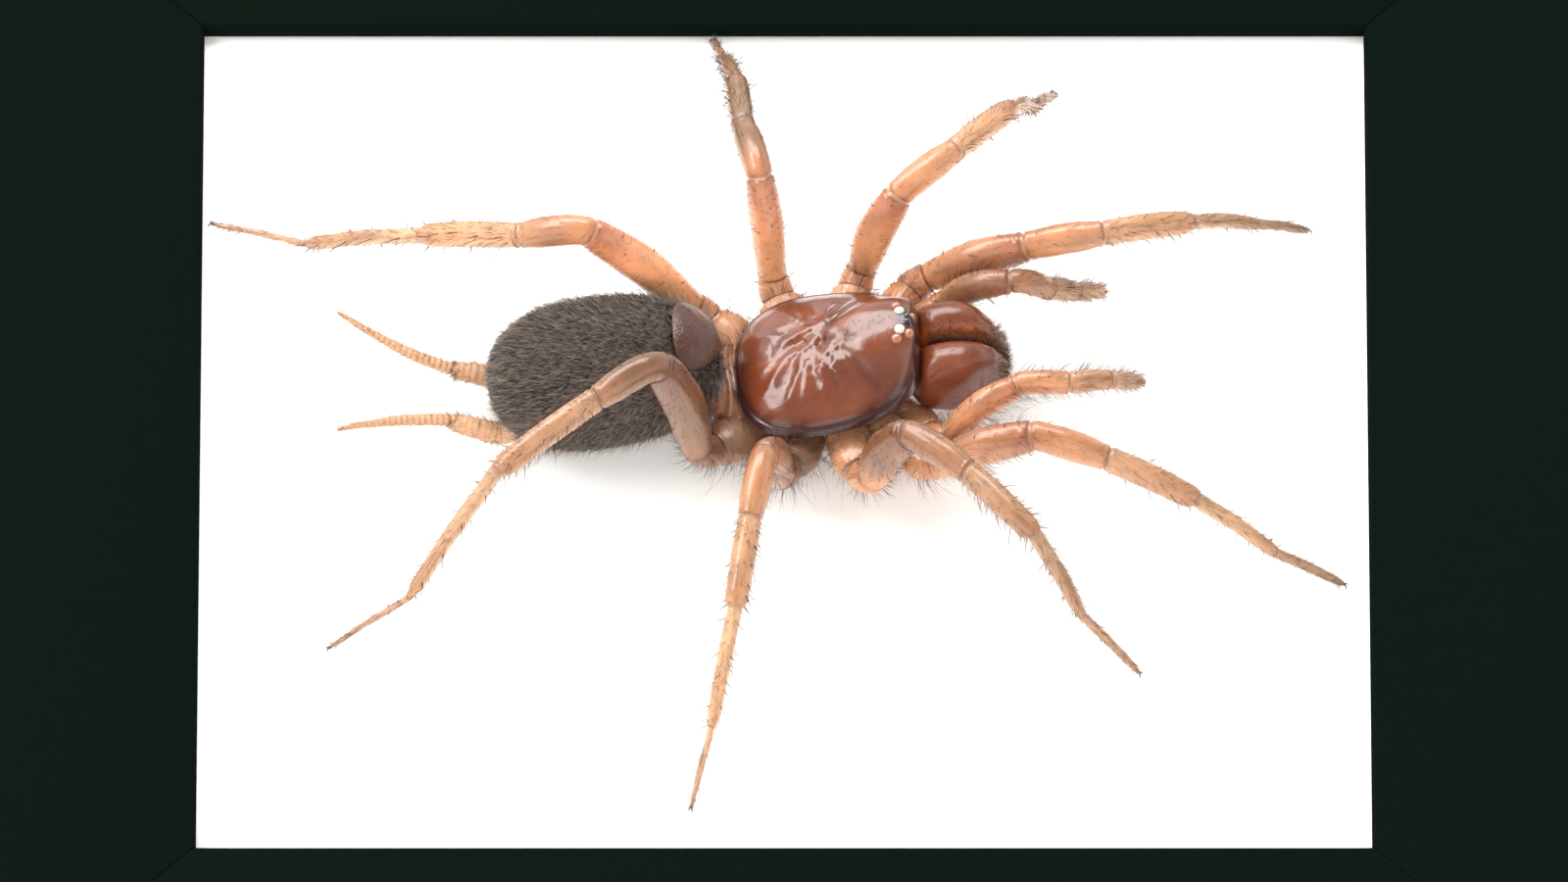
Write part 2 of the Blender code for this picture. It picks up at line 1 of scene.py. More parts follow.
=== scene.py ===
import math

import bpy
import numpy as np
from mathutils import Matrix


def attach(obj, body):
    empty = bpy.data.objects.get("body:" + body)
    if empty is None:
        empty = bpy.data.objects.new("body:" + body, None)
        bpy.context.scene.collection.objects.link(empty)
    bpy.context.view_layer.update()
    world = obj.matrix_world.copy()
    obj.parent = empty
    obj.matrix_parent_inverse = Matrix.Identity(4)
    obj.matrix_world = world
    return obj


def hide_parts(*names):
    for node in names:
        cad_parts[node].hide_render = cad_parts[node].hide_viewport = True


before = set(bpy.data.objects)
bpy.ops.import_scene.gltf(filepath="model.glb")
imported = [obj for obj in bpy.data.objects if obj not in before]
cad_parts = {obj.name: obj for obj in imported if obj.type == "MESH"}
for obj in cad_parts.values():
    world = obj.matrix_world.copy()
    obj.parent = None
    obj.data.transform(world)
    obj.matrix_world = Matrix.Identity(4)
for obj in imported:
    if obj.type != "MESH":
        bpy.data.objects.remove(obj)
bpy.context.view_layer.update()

# A dried spider on a white board in a dark frame, dressed for the picture. Lengths are
# millimetres until a mesh is written, and angles are degrees. The spider's head points
# along +X and its left side faces +Y.

bl_info = {
    "name": "Framed spider specimen",
    "version": (1, 0, 0),
    "blender": (4, 5, 0),
    "location": "3D View > Sidebar > Specimen",
    "description": "Builds a dried spider, its board, its frame and a small studio",
    "category": "Object",
}

MM = 0.001
TAU = 2.0 * math.pi
BOARD_LIGHT = 1.86
LAMP_WHITE = (1.0, 0.985, 0.965)
ROOM_WHITE = (1.0, 0.99, 0.98, 1.0)
ROOM_LOW_BAND = (0.3, 0.6)
ROOM_LOW_GAIN = 3.6

# The camera, in metres but for its picture's width, scale and rise
PICTURE_WIDTH = 1600.0
PIXELS_PER_MM = 15.0
CAMERA_RISE = 54.0
CAMERA_AIM = (0.0, 0.0004, 0.0105)
CAMERA_AWAY = 2.7
SENSOR_WIDTH = 36.0

BODY_X = 3.0
BODY_Y = 2.4
BOARD_FACE = 10.5
LEGS_YAW = 2.0
HEAD_YAW = 4.0
HEAD_PITCH = 10.0

SHIELD_HALF_LENGTH = 6.45
SHIELD_HALF_WIDTH = 5.75
SHIELD_SQUARENESS = 2.45
SHIELD_TAPER = 0.08
SHIELD_MARGIN_Z = 6.3
SHIELD_FRONT_SQUARENESS = 2.7
DOME_RISE = 2.0
HEAD_RISE = 1.5
HEAD_HALF_WIDTH = 2.9
HEAD_DRIFT = 0.1
FACE_STEEPNESS = 14.0
FACE_HALF_WIDTH = 3.3
FACE_LEAN = 0.18
FACE_CORNER = 0.35
EYE_MOUND = (5.3, 0.0)
SHIELD_SIDES = 216
# Ridges and furrows of the shield: rise, half width and the points each runs through
SHIELD_RELIEF = (
    (0.16, 0.32, ((0.2, 0.6), (-0.4, 0.4), (-0.9, -0.1), (-1.9, -0.25), (-2.6, -0.6), (-3.2, -1.35), (-3.8, -2.2),
                  (-4.6, -2.9))),
    (0.15, 0.27, ((-1.45, -0.45), (-1.75, -1.7), (-2.15, -2.7), (-2.6, -3.6), (-2.9, -4.3))),
    (0.12, 0.24, ((-1.1, -1.0), (-1.3, -2.4), (-1.6, -3.6))),
    (0.12, 0.27, ((-0.4, -1.9), (-0.1, -3.0), (-0.25, -4.0))),
    (0.12, 0.3, ((-0.3, -1.4), (0.7, -2.6), (2.2, -3.6), (2.9, -4.2))),
    (0.15, 0.3, ((-0.6, 1.45), (-1.6, 1.2), (-2.5, 0.85), (-3.1, 0.1))),
    (0.1, 0.3, ((-3.0, 1.5), (-4.2, 1.9), (-5.0, 2.4))),
    (0.09, 0.3, ((-3.6, 0.4), (-4.5, 0.5), (-5.3, 0.2))),
    (0.09, 0.26, ((-3.7, -0.7), (-4.5, -0.9), (-5.3, -1.2))),
    (0.1, 0.35, ((-1.4, 2.4), (-2.4, 3.4), (-3.1, 4.2))),
    (0.1, 0.35, ((-0.4, 2.2), (-0.4, 3.4), (-0.6, 4.4))),
    (-0.2, 0.4, ((-1.2, 0.75), (-1.6, 0.5), (-2.1, 0.3))),
    (-0.24, 0.42, ((0.9, -0.7), (1.7, -1.6), (2.6, -2.7), (3.3, -3.6))),
    (-0.1, 0.22, ((0.5, -1.0), (0.3, -2.2), (0.7, -3.4))),
    (-0.22, 0.32, ((0.3, 1.3), (1.2, 1.9), (2.3, 2.6), (3.4, 3.2))),
    (-0.12, 0.2, ((0.4, 1.9), (1.2, 2.7), (2.0, 3.4))),
    (-0.1, 0.18, ((-0.1, 2.2), (0.5, 3.1), (0.9, 4.0))),
)
# Eyes: name, place on the shield, half width across and along, kind
EYES = (
    ("rear_outer_left", 4.95, 1.22, 0.3, 0.34, "amber"),
    ("rear_inner_left", 5.12, 0.72, 0.28, 0.36, "pearl"),
    ("front_outer_left", 5.82, 0.42, 0.26, 0.2, "amber"),
    ("front_inner_left", 5.52, 0.26, 0.22, 0.24, "black"),
    ("front_inner_right", 5.5, -0.18, 0.22, 0.24, "black"),
    ("rear_inner_right", 5.06, -0.72, 0.35, 0.38, "pearl"),
    ("front_outer_right", 5.55, -1.02, 0.36, 0.34, "amber"),
    ("rear_outer_right", 4.87, -1.3, 0.36, 0.39, "amber"),
)

ABDOMEN_BACK = 15.1
ABDOMEN_HALF_LENGTH = 7.75
ABDOMEN_RADIUS = 4.9
ABDOMEN_Z = 6.0
ABDOMEN_PITCH = 10.0
ABDOMEN_BLUNTNESS = 2.35
PLATE_SPREAD = 48.0
PLATE_FRONT = 0.99
PLATE_BACK = 0.66

JAW_SHIFT = 0.2
JAW_SIDES = 56
JAW_SQUARENESS = 2.35
# Jaws: place along, half width, bottom, top; fangs: place along, height, radius
JAW_STATIONS = (
    (5.2, 0.9, 4.9, 5.9), (5.9, 1.4, 4.2, 6.7), (6.35, 1.6, 3.7, 8.2), (7.0, 1.66, 3.4, 8.75),
    (7.8, 1.68, 3.2, 8.98), (8.6, 1.68, 3.1, 9.05), (9.5, 1.59, 2.95, 8.9), (10.4, 1.4, 2.95, 8.5),
    (11.2, 1.18, 3.1, 7.7), (11.8, 0.94, 3.35, 6.7), (12.15, 0.66, 3.75, 5.9), (12.3, 0.3, 4.2, 5.2),
)
FANG_MIDDLE = 1.2
FANG_STATIONS = ((11.4, 4.3, 0.55), (11.5, 3.1, 0.5), (10.8, 2.5, 0.36), (9.8, 2.3, 0.22), (8.9, 2.4, 0.06))

MITRE_GROWTH = 0.2
RAIL_EASE = 0.08
HIP_Z = 5.0
LEG_ROOTS = {1: (2.9, 2.9, 4.2), 2: (0.8, 3.1, 4.0), 3: (-1.6, 3.0, 3.5), 4: (-4.0, 1.9, 2.9)}
LEG_HIPS = {1: (7.0, 7.9), 2: (2.6, 8.8), 3: (-3.5, 8.3), 4: (-9.0, 6.0)}
LEG_LENGTHS = {
    1: (7.8, 5.2, 6.8, 6.6, 5.1),
    2: (7.3, 5.2, 6.4, 7.4, 5.8),
    3: (8.6, 4.6, 6.3, 8.3, 5.5),
    4: (11.5, 4.9, 8.4, 11.2, 6.8),
}
# Turn outwards from straight ahead for each segment, then rise for all but the tarsus
LEG_POSES = {
    (1, "left"): ((-3, 4, 19, 31, 23), (29, 8, -16, -38)),
    (2, "left"): ((28, 41, 49, 67, 69), (67, 1, -15, -51)),
    (3, "left"): ((104, 102, 93, 96, 98), (68, -10, -24, -43)),
    (4, "left"): ((178, 168, 154, 151, 157), (51, -22, -29, -36)),
    (1, "right"): ((5, 14, 20, 23, 17), (31, -14, -18, -30)),
    (2, "right"): ((24, 41, 47, 37, 29), (68, -2, -9, -58)),
    (3, "right"): ((109, 104, 102, 106, 110), (62, -18, -22, -38)),
    (4, "right"): ((168, 153, 149, 144, 169), (76, -14, -16, -47)),
}
TROCHANTER_LENGTH = 1.5
TARSUS_TIP_Z = 0.45
PALP_ROOT = (4.9, 1.4, 2.7)
PALP_HIP = (7.9, 5.6, 5.2)
PALP_LENGTHS = (6.5, 3.4, 2.9, 2.7)
PALP_POSES = {
    "left": ((-13, 22, 28, 25), (38, -45, -40, -31)),
    "right": ((-15, -3, -8, -15), (38, -6, -7, -29)),
}
LIMB_SIDES = 28
JOINT_RINGS = (-0.6, -0.47, -0.38, -0.3, -0.22, -0.14, -0.07, 0.0, 0.07, 0.14, 0.22, 0.32, 0.44)
# Each segment's stations: share of its length, half width, half depth
LEG_SHAPE = (
    ((0.0, 0.9, 0.85), (0.3, 1.3, 1.05), (0.75, 1.36, 1.3)),
    ((0.0, 1.1, 1.15), (0.5, 1.2, 1.22)),
    ((0.0, 0.95, 1.05), (0.2, 1.05, 1.3), (0.55, 1.15, 1.5), (0.85, 1.05, 1.35)),
    ((0.0, 0.92, 1.08), (0.35, 1.0, 1.2), (0.7, 1.0, 1.15)),
    ((0.0, 0.8, 0.92), (0.3, 0.86, 1.0), (0.7, 0.84, 0.95), (0.93, 0.8, 0.85)),
    ((0.0, 0.52, 0.55), (0.4, 0.52, 0.56), (0.9, 0.46, 0.5)),
    ((0.0, 0.36, 0.38), (0.4, 0.34, 0.36), (0.8, 0.3, 0.32), (0.97, 0.22, 0.24)),
)
PALP_SHAPE = (
    ((0.0, 1.0, 0.9), (0.4, 1.55, 1.1), (0.85, 1.45, 1.1)),
    ((0.0, 1.2, 1.0), (0.5, 0.95, 0.9)),
    ((0.0, 0.72, 0.8), (0.3, 0.9, 1.1), (0.7, 0.92, 1.12)),
    ((0.0, 0.78, 0.82), (0.5, 0.84, 0.9)),
    ((0.0, 0.74, 0.78), (0.5, 0.78, 0.82)),
    ((0.0, 0.62, 0.65), (0.4, 0.62, 0.64), (0.8, 0.5, 0.52), (0.97, 0.3, 0.32)),
)
LEG_BOWS = (0.0, 0.0, 0.35, 0.1, 0.12, 0.2, 0.1)
PALP_BOWS = (0.0, 0.0, 0.5, 0.1, 0.1, 0.05)
COXA_WIDTH = {1: 0.95, 2: 1.25, 3: 1.4, 4: 1.3}
FINE_TARSUS = {1: 1.0, 2: 0.9, 3: 0.62, 4: 0.62}

# Waist: place along, height, half width, half depth
WAIST_STATIONS = (
    (-3.6, 3.3, 2.6, 1.1), (-5.0, 3.55, 3.5, 1.35), (-6.2, 3.7, 3.7, 1.4),
    (-7.2, 3.9, 3.0, 1.3), (-8.2, 4.2, 2.3, 1.4), (-9.4, 4.5, 1.9, 1.5),
)
# Spinnerets: place along, across and up, radius
SPINNERETS = {
    "left": ((-21.2, 2.2, 3.2, 0.7), (-22.5, 2.4, 2.5, 0.76), (-23.7, 2.5, 2.7, 0.76), (-25.1, 2.7, 2.9, 0.6),
             (-25.6, 2.8, 3.0, 0.42), (-28.2, 3.6, 3.7, 0.4), (-31.0, 4.9, 4.6, 0.26), (-33.2, 6.1, 5.4, 0.12)),
    "right": ((-20.9, -2.2, 3.2, 0.7), (-22.2, -2.3, 2.4, 0.76), (-23.8, -2.2, 2.8, 0.76), (-25.4, -1.9, 3.2, 0.6),
              (-25.9, -1.8, 3.4, 0.42), (-28.6, -2.0, 3.8, 0.4), (-31.3, -2.6, 4.3, 0.26), (-33.5, -3.2, 4.6, 0.12)),
}


# Colours and user settings

def daylight(red, green, blue, light=BOARD_LIGHT):
    """Surface colour that shows as this 0 to 255 tone under the light that burns the board out to white."""
    tone = []
    for level in (red, green, blue):
        share = level / 255.0
        linear = share / 12.92 if share <= 0.04045 else ((share + 0.055) / 1.055) ** 2.4
        tone.append(linear / light)
    return tuple(tone)


def colour(name, description, *levels):
    """A colour setting, from a 0 to 255 tone."""
    return bpy.props.FloatVectorProperty(name=name, description=description, subtype="COLOR", size=3,
                                         min=0.0, max=1.0, default=daylight(*levels))


def length(name, description, millimetres):
    """A length setting, from millimetres."""
    return bpy.props.FloatProperty(name=name, description=description, unit="LENGTH", min=0.0,
                                   default=millimetres * MM)


class SpecimenLimbColours(bpy.types.PropertyGroup):
    coxa_near: colour("Coxa near", "Leg base beside the body", 228, 170, 131)
    coxa_far: colour("Coxa far", "Leg base at the hip", 222, 162, 121)
    trochanter_near: colour("Trochanter near", "Short hip segment, inner end", 220, 159, 119)
    trochanter_far: colour("Trochanter far", "Short hip segment, outer end", 209, 145, 107)
    femur_near: colour("Femur near", "Thigh at the hip", 229, 166, 120)
    femur_far: colour("Femur far", "Thigh at the knee", 182, 115, 83)
    patella_near: colour("Patella near", "Knee segment, inner end", 202, 136, 94)
    patella_far: colour("Patella far", "Knee segment, outer end", 207, 148, 106)
    tibia_near: colour("Tibia near", "Shin, inner end", 219, 167, 125)
    tibia_far: colour("Tibia far", "Shin, outer end", 209, 152, 111)
    metatarsus_near: colour("Metatarsus near", "First foot segment, inner end", 227, 181, 139)
    metatarsus_far: colour("Metatarsus far", "First foot segment, outer end", 221, 165, 124)
    tarsus_near: colour("Tarsus near", "Last foot segment, inner end", 229, 180, 140)
    tarsus_far: colour("Tarsus far", "Last foot segment, tip", 209, 162, 128)
    joint_edge: colour("Joint edge", "Dark hard edge at each joint", 104, 55, 36)
    membrane: colour("Joint skin", "Pale soft skin inside each joint", 235, 201, 161)


class SpecimenBodyColours(bpy.types.PropertyGroup):
    shield: colour("Shield", "Mahogany of the head and chest shield", 116, 57, 36)
    shield_warm: colour("Shield patches", "Orange-brown patches on the shield", 146, 75, 42)
    # Its own dark for the rim and the head's front, also laid on as painted shade in the furrows, in the pit and along
    # the rim on the side facing the camera.
    shield_dark: colour("Shield dark", "Dark rim, furrows and head edge", 58, 30, 34)
    eye_black: colour("Eye mound", "Black around the eyes", 14, 14, 16)
    jaw: colour("Jaw", "Red-brown of the jaws", 142, 70, 38)
    jaw_dark: colour("Jaw dark", "Dark front and edges of the jaws", 104, 56, 42)
    # The jaws' inner faces are orange, and this colour is painted brighter than that as a glow of light shining
    # through the jaw; the small orange patch on the shield uses it too.
    jaw_groove: colour("Jaw groove", "Orange groove between the jaws", 200, 102, 42)
    fang: colour("Fang", "Near-black red of the fangs", 44, 18, 14)
    velvet: colour("Abdomen skin", "Grey-brown skin under the abdomen's hair", 110, 98, 90)
    plate: colour("Dorsal plate", "Dark red-brown plate on the abdomen", 86, 46, 32)
    waist: colour("Waist", "Tan skin between chest and abdomen", 204, 140, 104)
    spinneret: colour("Spinneret", "Pale orange ringed skin", 240, 190, 148)
    spinneret_dark: colour("Spinneret rings", "Darker skin between the rings", 206, 142, 104)
    sternum: colour("Sternum", "Plate between the leg bases", 176, 104, 66)


class SpecimenCoat(bpy.types.PropertyGroup):
    dark: colour("Bristle base", "Dark end of most bristles", 76, 50, 40)
    tip: colour("Bristle tip", "Paler tip of most bristles", 150, 98, 68)
    spine: colour("Spine", "Near-black of the stiff spines", 48, 32, 27)
    felt_dark: colour("Felt dark", "Darkest of the abdomen's hair", 80, 73, 69)
    felt_pale: colour("Felt pale", "Palest tips of the abdomen's hair", 172, 161, 153)
    fringe: colour("Fringe", "Tan hair round the abdomen's edge", 214, 184, 156)
    felt_count: bpy.props.IntProperty(name="Abdomen hairs", description="Number of hairs on the abdomen",
                                      default=17500, min=100, max=19000)
    leg_density: bpy.props.FloatProperty(name="Leg hair density", description="Bristles per millimetre of leg",
                                         default=48.0, min=0.0, max=90.0)


class SpecimenStage(bpy.types.PropertyGroup):
    key_power: bpy.props.FloatProperty(name="Softbox power", description="Power of the large softbox", unit="POWER",
                                       default=3.9, min=0.0)
    side_power: bpy.props.FloatProperty(name="Side softbox power", description="Power of the softbox at the tail end",
                                        unit="POWER", default=2.0, min=0.0)
    key_width: length("Softbox width", "Width of the large softbox", 560.0)
    key_height: length("Softbox height", "Height of the softbox above the board", 420.0)
    fill_power: bpy.props.FloatProperty(name="Fill power", description="Power of the soft light in front",
                                        unit="POWER", default=6.8, min=0.0)
    room: bpy.props.FloatProperty(name="Room light", description="Strength of the even light all round",
                                  default=0.5, min=0.0)
    floor: colour("Floor", "Plain pale floor", 225, 223, 220)
    frame_paint: bpy.props.FloatVectorProperty(name="Frame paint", description="Near-black green of the frame",
                                               subtype="COLOR", size=3, default=(0.0018, 0.0041, 0.0027))
    board: bpy.props.FloatVectorProperty(name="Board", description="Bright white card", subtype="COLOR", size=3,
                                         default=(0.9, 0.9, 0.89))


class SpecimenSettings(bpy.types.PropertyGroup):
    limbs: bpy.props.PointerProperty(type=SpecimenLimbColours, name="Limb colours", description="Colours along a limb")
    body: bpy.props.PointerProperty(type=SpecimenBodyColours, name="Body colours", description="Colours of the body")
    coat: bpy.props.PointerProperty(type=SpecimenCoat, name="Hair", description="Hair colours and amounts")
    stage: bpy.props.PointerProperty(type=SpecimenStage, name="Studio", description="Light, floor, frame and board")


# Small vector sums

def unit(vectors):
    """Vectors scaled to a length of one."""
    return vectors / np.maximum(np.linalg.norm(vectors, axis=-1, keepdims=True), 1e-12)


def smooth_step(low, high, value):
    """Rise from 0 to 1 between two values."""
    t = np.clip((value - low) / (high - low), 0.0, 1.0)
    return t * t * (3.0 - 2.0 * t)


def bump(value, width):
    """A rounded peak of height 1 about zero."""
    return np.exp(-(value / width) ** 2)


def mixed(first, second, share):
    """Colours between two colours."""
    share = np.asarray(share)[..., None]
    return np.asarray(first) * (1.0 - share) + np.asarray(second) * share


def ripple(points, wavelength, seed, waves=14):
    """Even, seeded waviness from -1 to 1 over points in the plane or in space."""
    rng = np.random.default_rng(seed)
    total = np.zeros(points.shape[:-1])
    for _ in range(waves):
        way = unit(rng.normal(size=points.shape[-1]))
        reach = wavelength * rng.uniform(0.7, 1.6)
        total += np.sin(points @ way * (TAU / reach) + rng.uniform(0.0, TAU))
    return total / math.sqrt(waves * 0.5) * 0.5


def standing(yaw, pitch=0.0, raised=0.0):
    """Turn and shift of a mesh built about the body's middle, with Z up from the board's face."""
    a = math.radians(yaw)
    b = math.radians(-pitch)
    turn = np.array(((math.cos(a), -math.sin(a), 0.0), (math.sin(a), math.cos(a), 0.0), (0.0, 0.0, 1.0)))
    tip = np.array(((math.cos(b), 0.0, math.sin(b)), (0.0, 1.0, 0.0), (-math.sin(b), 0.0, math.cos(b))))
    return turn @ tip, np.array((BODY_X, BODY_Y, BOARD_FACE + raised))


def placed(points, placing):
    """Points carried to their place, still in millimetres."""
    turn, shift = placing
    return points @ turn.T + shift


def abdomen_placing():
    """The abdomen hangs behind the chest with its rear end lower."""
    turn, shift = standing(LEGS_YAW)
    tip, _ = standing(0.0, ABDOMEN_PITCH)
    return turn @ tip, shift + turn @ np.array((-ABDOMEN_BACK, 0.0, ABDOMEN_Z))


def run_length(points):
    """Distance along a line of points."""
    return np.concatenate(((0.0,), np.cumsum(np.linalg.norm(np.diff(points, axis=0), axis=1))))


def circles(across, up, sides):
    """Unit circles square to a line."""
    turns = np.arange(sides) * TAU / sides
    return across[:, None] * np.cos(turns)[None, :, None] + up[:, None] * np.sin(turns)[None, :, None]


# Meshes

def dress(item, material):
    """Give a mesh its one material."""
    item.data.materials.clear()
    item.data.materials.append(material)


def wear(item, material, slot, *nodes):
    """Give a finished piece its material and its body, and hide the solid parts it stands in for; the slot is not
    used.
    """
    dress(item, material)
    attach(item, "root")
    if nodes:
        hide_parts(*nodes)
    return item


def paint(item, tones):
    """Write a colour for each point of a mesh."""
    layer = item.data.attributes.new("tint", "FLOAT_COLOR", "POINT")
    full = np.ones((len(tones), 4))
    full[:, :3] = np.clip(tones, 0.0, 1.0)
    layer.data.foreach_set("color", full.ravel())


def ringed(name, rings, tones, first=None, last=None, placing=None):
    """A ball whose rings are moved to these, each counter-clockwise seen from the last one's end."""
    rings = np.asarray(rings, dtype=float)
    count, sides = rings.shape[:2]
    bpy.ops.object.select_all(action="DESELECT")
    bpy.ops.mesh.primitive_uv_sphere_add(segments=sides, ring_count=count + 1, radius=1.0, location=(0.0, 0.0, 0.0))
    item = bpy.context.object
    item.name = name
    item.data.name = name
    bpy.ops.object.shade_smooth()
    start = np.empty(len(item.data.vertices) * 3)
    item.data.vertices.foreach_get("co", start)
    start = start.reshape(-1, 3)
    step = np.rint(np.arccos(np.clip(-start[:, 2], -1.0, 1.0)) / math.pi * (count + 1)).astype(int)
    side = np.rint(np.arctan2(start[:, 1], start[:, 0]) / TAU * sides).astype(int) % sides
    inner = np.clip(step - 1, 0, count - 1)
    points = rings[inner, side]
    tints = np.asarray(tones)[inner, side].copy()
    points[step == 0] = rings[0].mean(axis=0) if first is None else first
    points[step == count + 1] = rings[-1].mean(axis=0) if last is None else last
    tints[step == 0] = tones[0].mean(axis=0)
    tints[step == count + 1] = tones[-1].mean(axis=0)
    if placing:
        points = placed(points, placing)
    item.data.vertices.foreach_set("co", (points * MM).ravel())
    item.data.update()
    paint(item, tints)
    return item


def joined(items, name):
    """Several meshes as one piece."""
    bpy.ops.object.select_all(action="DESELECT")
    for item in items:
        item.select_set(True)
    bpy.context.view_layer.objects.active = items[0]
    bpy.ops.object.join()
    items[0].name = name
    items[0].data.name = name
    return items[0]


class Tufts:
    """Hairs gathered for one piece: roots, ways, lengths, widths and colours."""

    def __init__(self):
        self.parts = []

    def add(self, roots, ways, bends, lengths, widths, near, far, placing=None):
        count = len(roots)
        lengths = np.broadcast_to(lengths, (count,))
        widths = np.broadcast_to(widths, (count,))
        near = np.broadcast_to(near, (count, 3))
        far = np.broadcast_to(far, (count, 3))
        bends = np.broadcast_to(bends, (count, 3))
        if placing:
            turn, _ = placing
            roots = placed(roots, placing)
            ways = ways @ turn.T
            bends = bends @ turn.T
        self.parts.append((roots, unit(ways), bends, lengths, widths, near, far))

    def grow(self, name, slot):
        """One mesh of three-sided hairs, each closed at its root and pointed at its tip."""
        roots, ways, bends, lengths, widths, near, far = (np.concatenate(part) for part in zip(*self.parts))
        count = len(roots)
        half = lengths[:, None] * 0.5
        roots = roots - ways * 0.04
        middles = roots + ways * half
        tips = middles + unit(ways + bends) * half
        helper = np.where(np.abs(ways[:, 2:]) < 0.8, (0.0, 0.0, 1.0), (1.0, 0.0, 0.0))
        side = unit(np.cross(ways, helper))
        other = np.cross(ways, side)
        points = np.empty((count, 7, 3))
        for corner in range(3):
            turn = TAU * corner / 3.0
            out = (side * math.cos(turn) + other * math.sin(turn)) * widths[:, None]
            points[:, corner] = roots + out
            points[:, 3 + corner] = middles + out * 0.72
        points[:, 6] = tips
        pattern = np.array(((0, 2, 1), (0, 1, 4), (0, 4, 3), (1, 2, 5), (1, 5, 4), (2, 0, 3), (2, 3, 5),
                            (3, 4, 6), (4, 5, 6), (5, 3, 6)))
        faces = (pattern[None] + 7 * np.arange(count)[:, None, None]).reshape(-1, 3)
        tones = np.empty((count, 7, 3))
        tones[:, :3] = near[:, None]
        tones[:, 3:6] = (near * 0.5 + far * 0.5)[:, None]
        tones[:, 6] = far
        mesh = bpy.data.meshes.new(name)
        mesh.from_pydata((points.reshape(-1, 3) * MM).tolist(), [], faces.tolist())
        mesh.shade_smooth()
        item = bpy.data.objects.new(name, mesh)
        bpy.context.scene.collection.objects.link(item)
        paint(item, tones.reshape(-1, 3))
        return wear(item, cuticle("bristle"), slot)


def leaning(ahead, normals, lift, rng, scatter=0.35):
    """Ways that lean off a surface by a lift in degrees, with some scatter."""
    count = len(ahead)
    lift = np.radians(np.broadcast_to(lift, (count,)) + rng.normal(0.0, 8.0, count))[:, None]
    flat = unit(ahead + np.cross(normals, ahead) * rng.normal(0.0, scatter, count)[:, None])
    return flat * np.cos(lift) + normals * np.sin(lift)


# Limbs

def heading(side, turn, rise):
    """Direction of a segment from its outward turn and its rise."""
    bearing = math.radians(side * turn)
    lift = math.radians(rise)
    return np.array((math.cos(lift) * math.cos(bearing), math.cos(lift) * math.sin(bearing), math.sin(lift)))


def limb_joints(side, root, hip, lengths, turns, rises):
    """Joint places from the limb's root to its tip."""
    first = heading(side, turns[0], rises[0])
    halfway = unit(unit(hip - root) + first)
    joints = [root, hip - halfway * TROCHANTER_LENGTH, hip]
    for size, turn, rise in zip(lengths, turns, rises):
        joints.append(joints[-1] + heading(side, turn, rise) * size)
    return joints


def leg_joints(number, word):
    """Joint places of one leg, with its tip just above the board."""
    turns, rises = LEG_POSES[(number, word)]
    side = 1.0 if word == "left" else -1.0
    root_x, root_y, root_z = LEG_ROOTS[number]
    hip_x, hip_y = LEG_HIPS[number]
    root = np.array((root_x, side * root_y, root_z))
    hip = np.array((hip_x, side * hip_y, HIP_Z))
    lengths = LEG_LENGTHS[number]
    joints = limb_joints(side, root, hip, lengths[:4], turns[:4], rises)
    drop = joints[-1][2] - TARSUS_TIP_Z
    last_rise = -math.degrees(math.asin(drop / lengths[4]))
    joints.append(joints[-1] + heading(side, turns[4], last_rise) * lengths[4])
    return joints


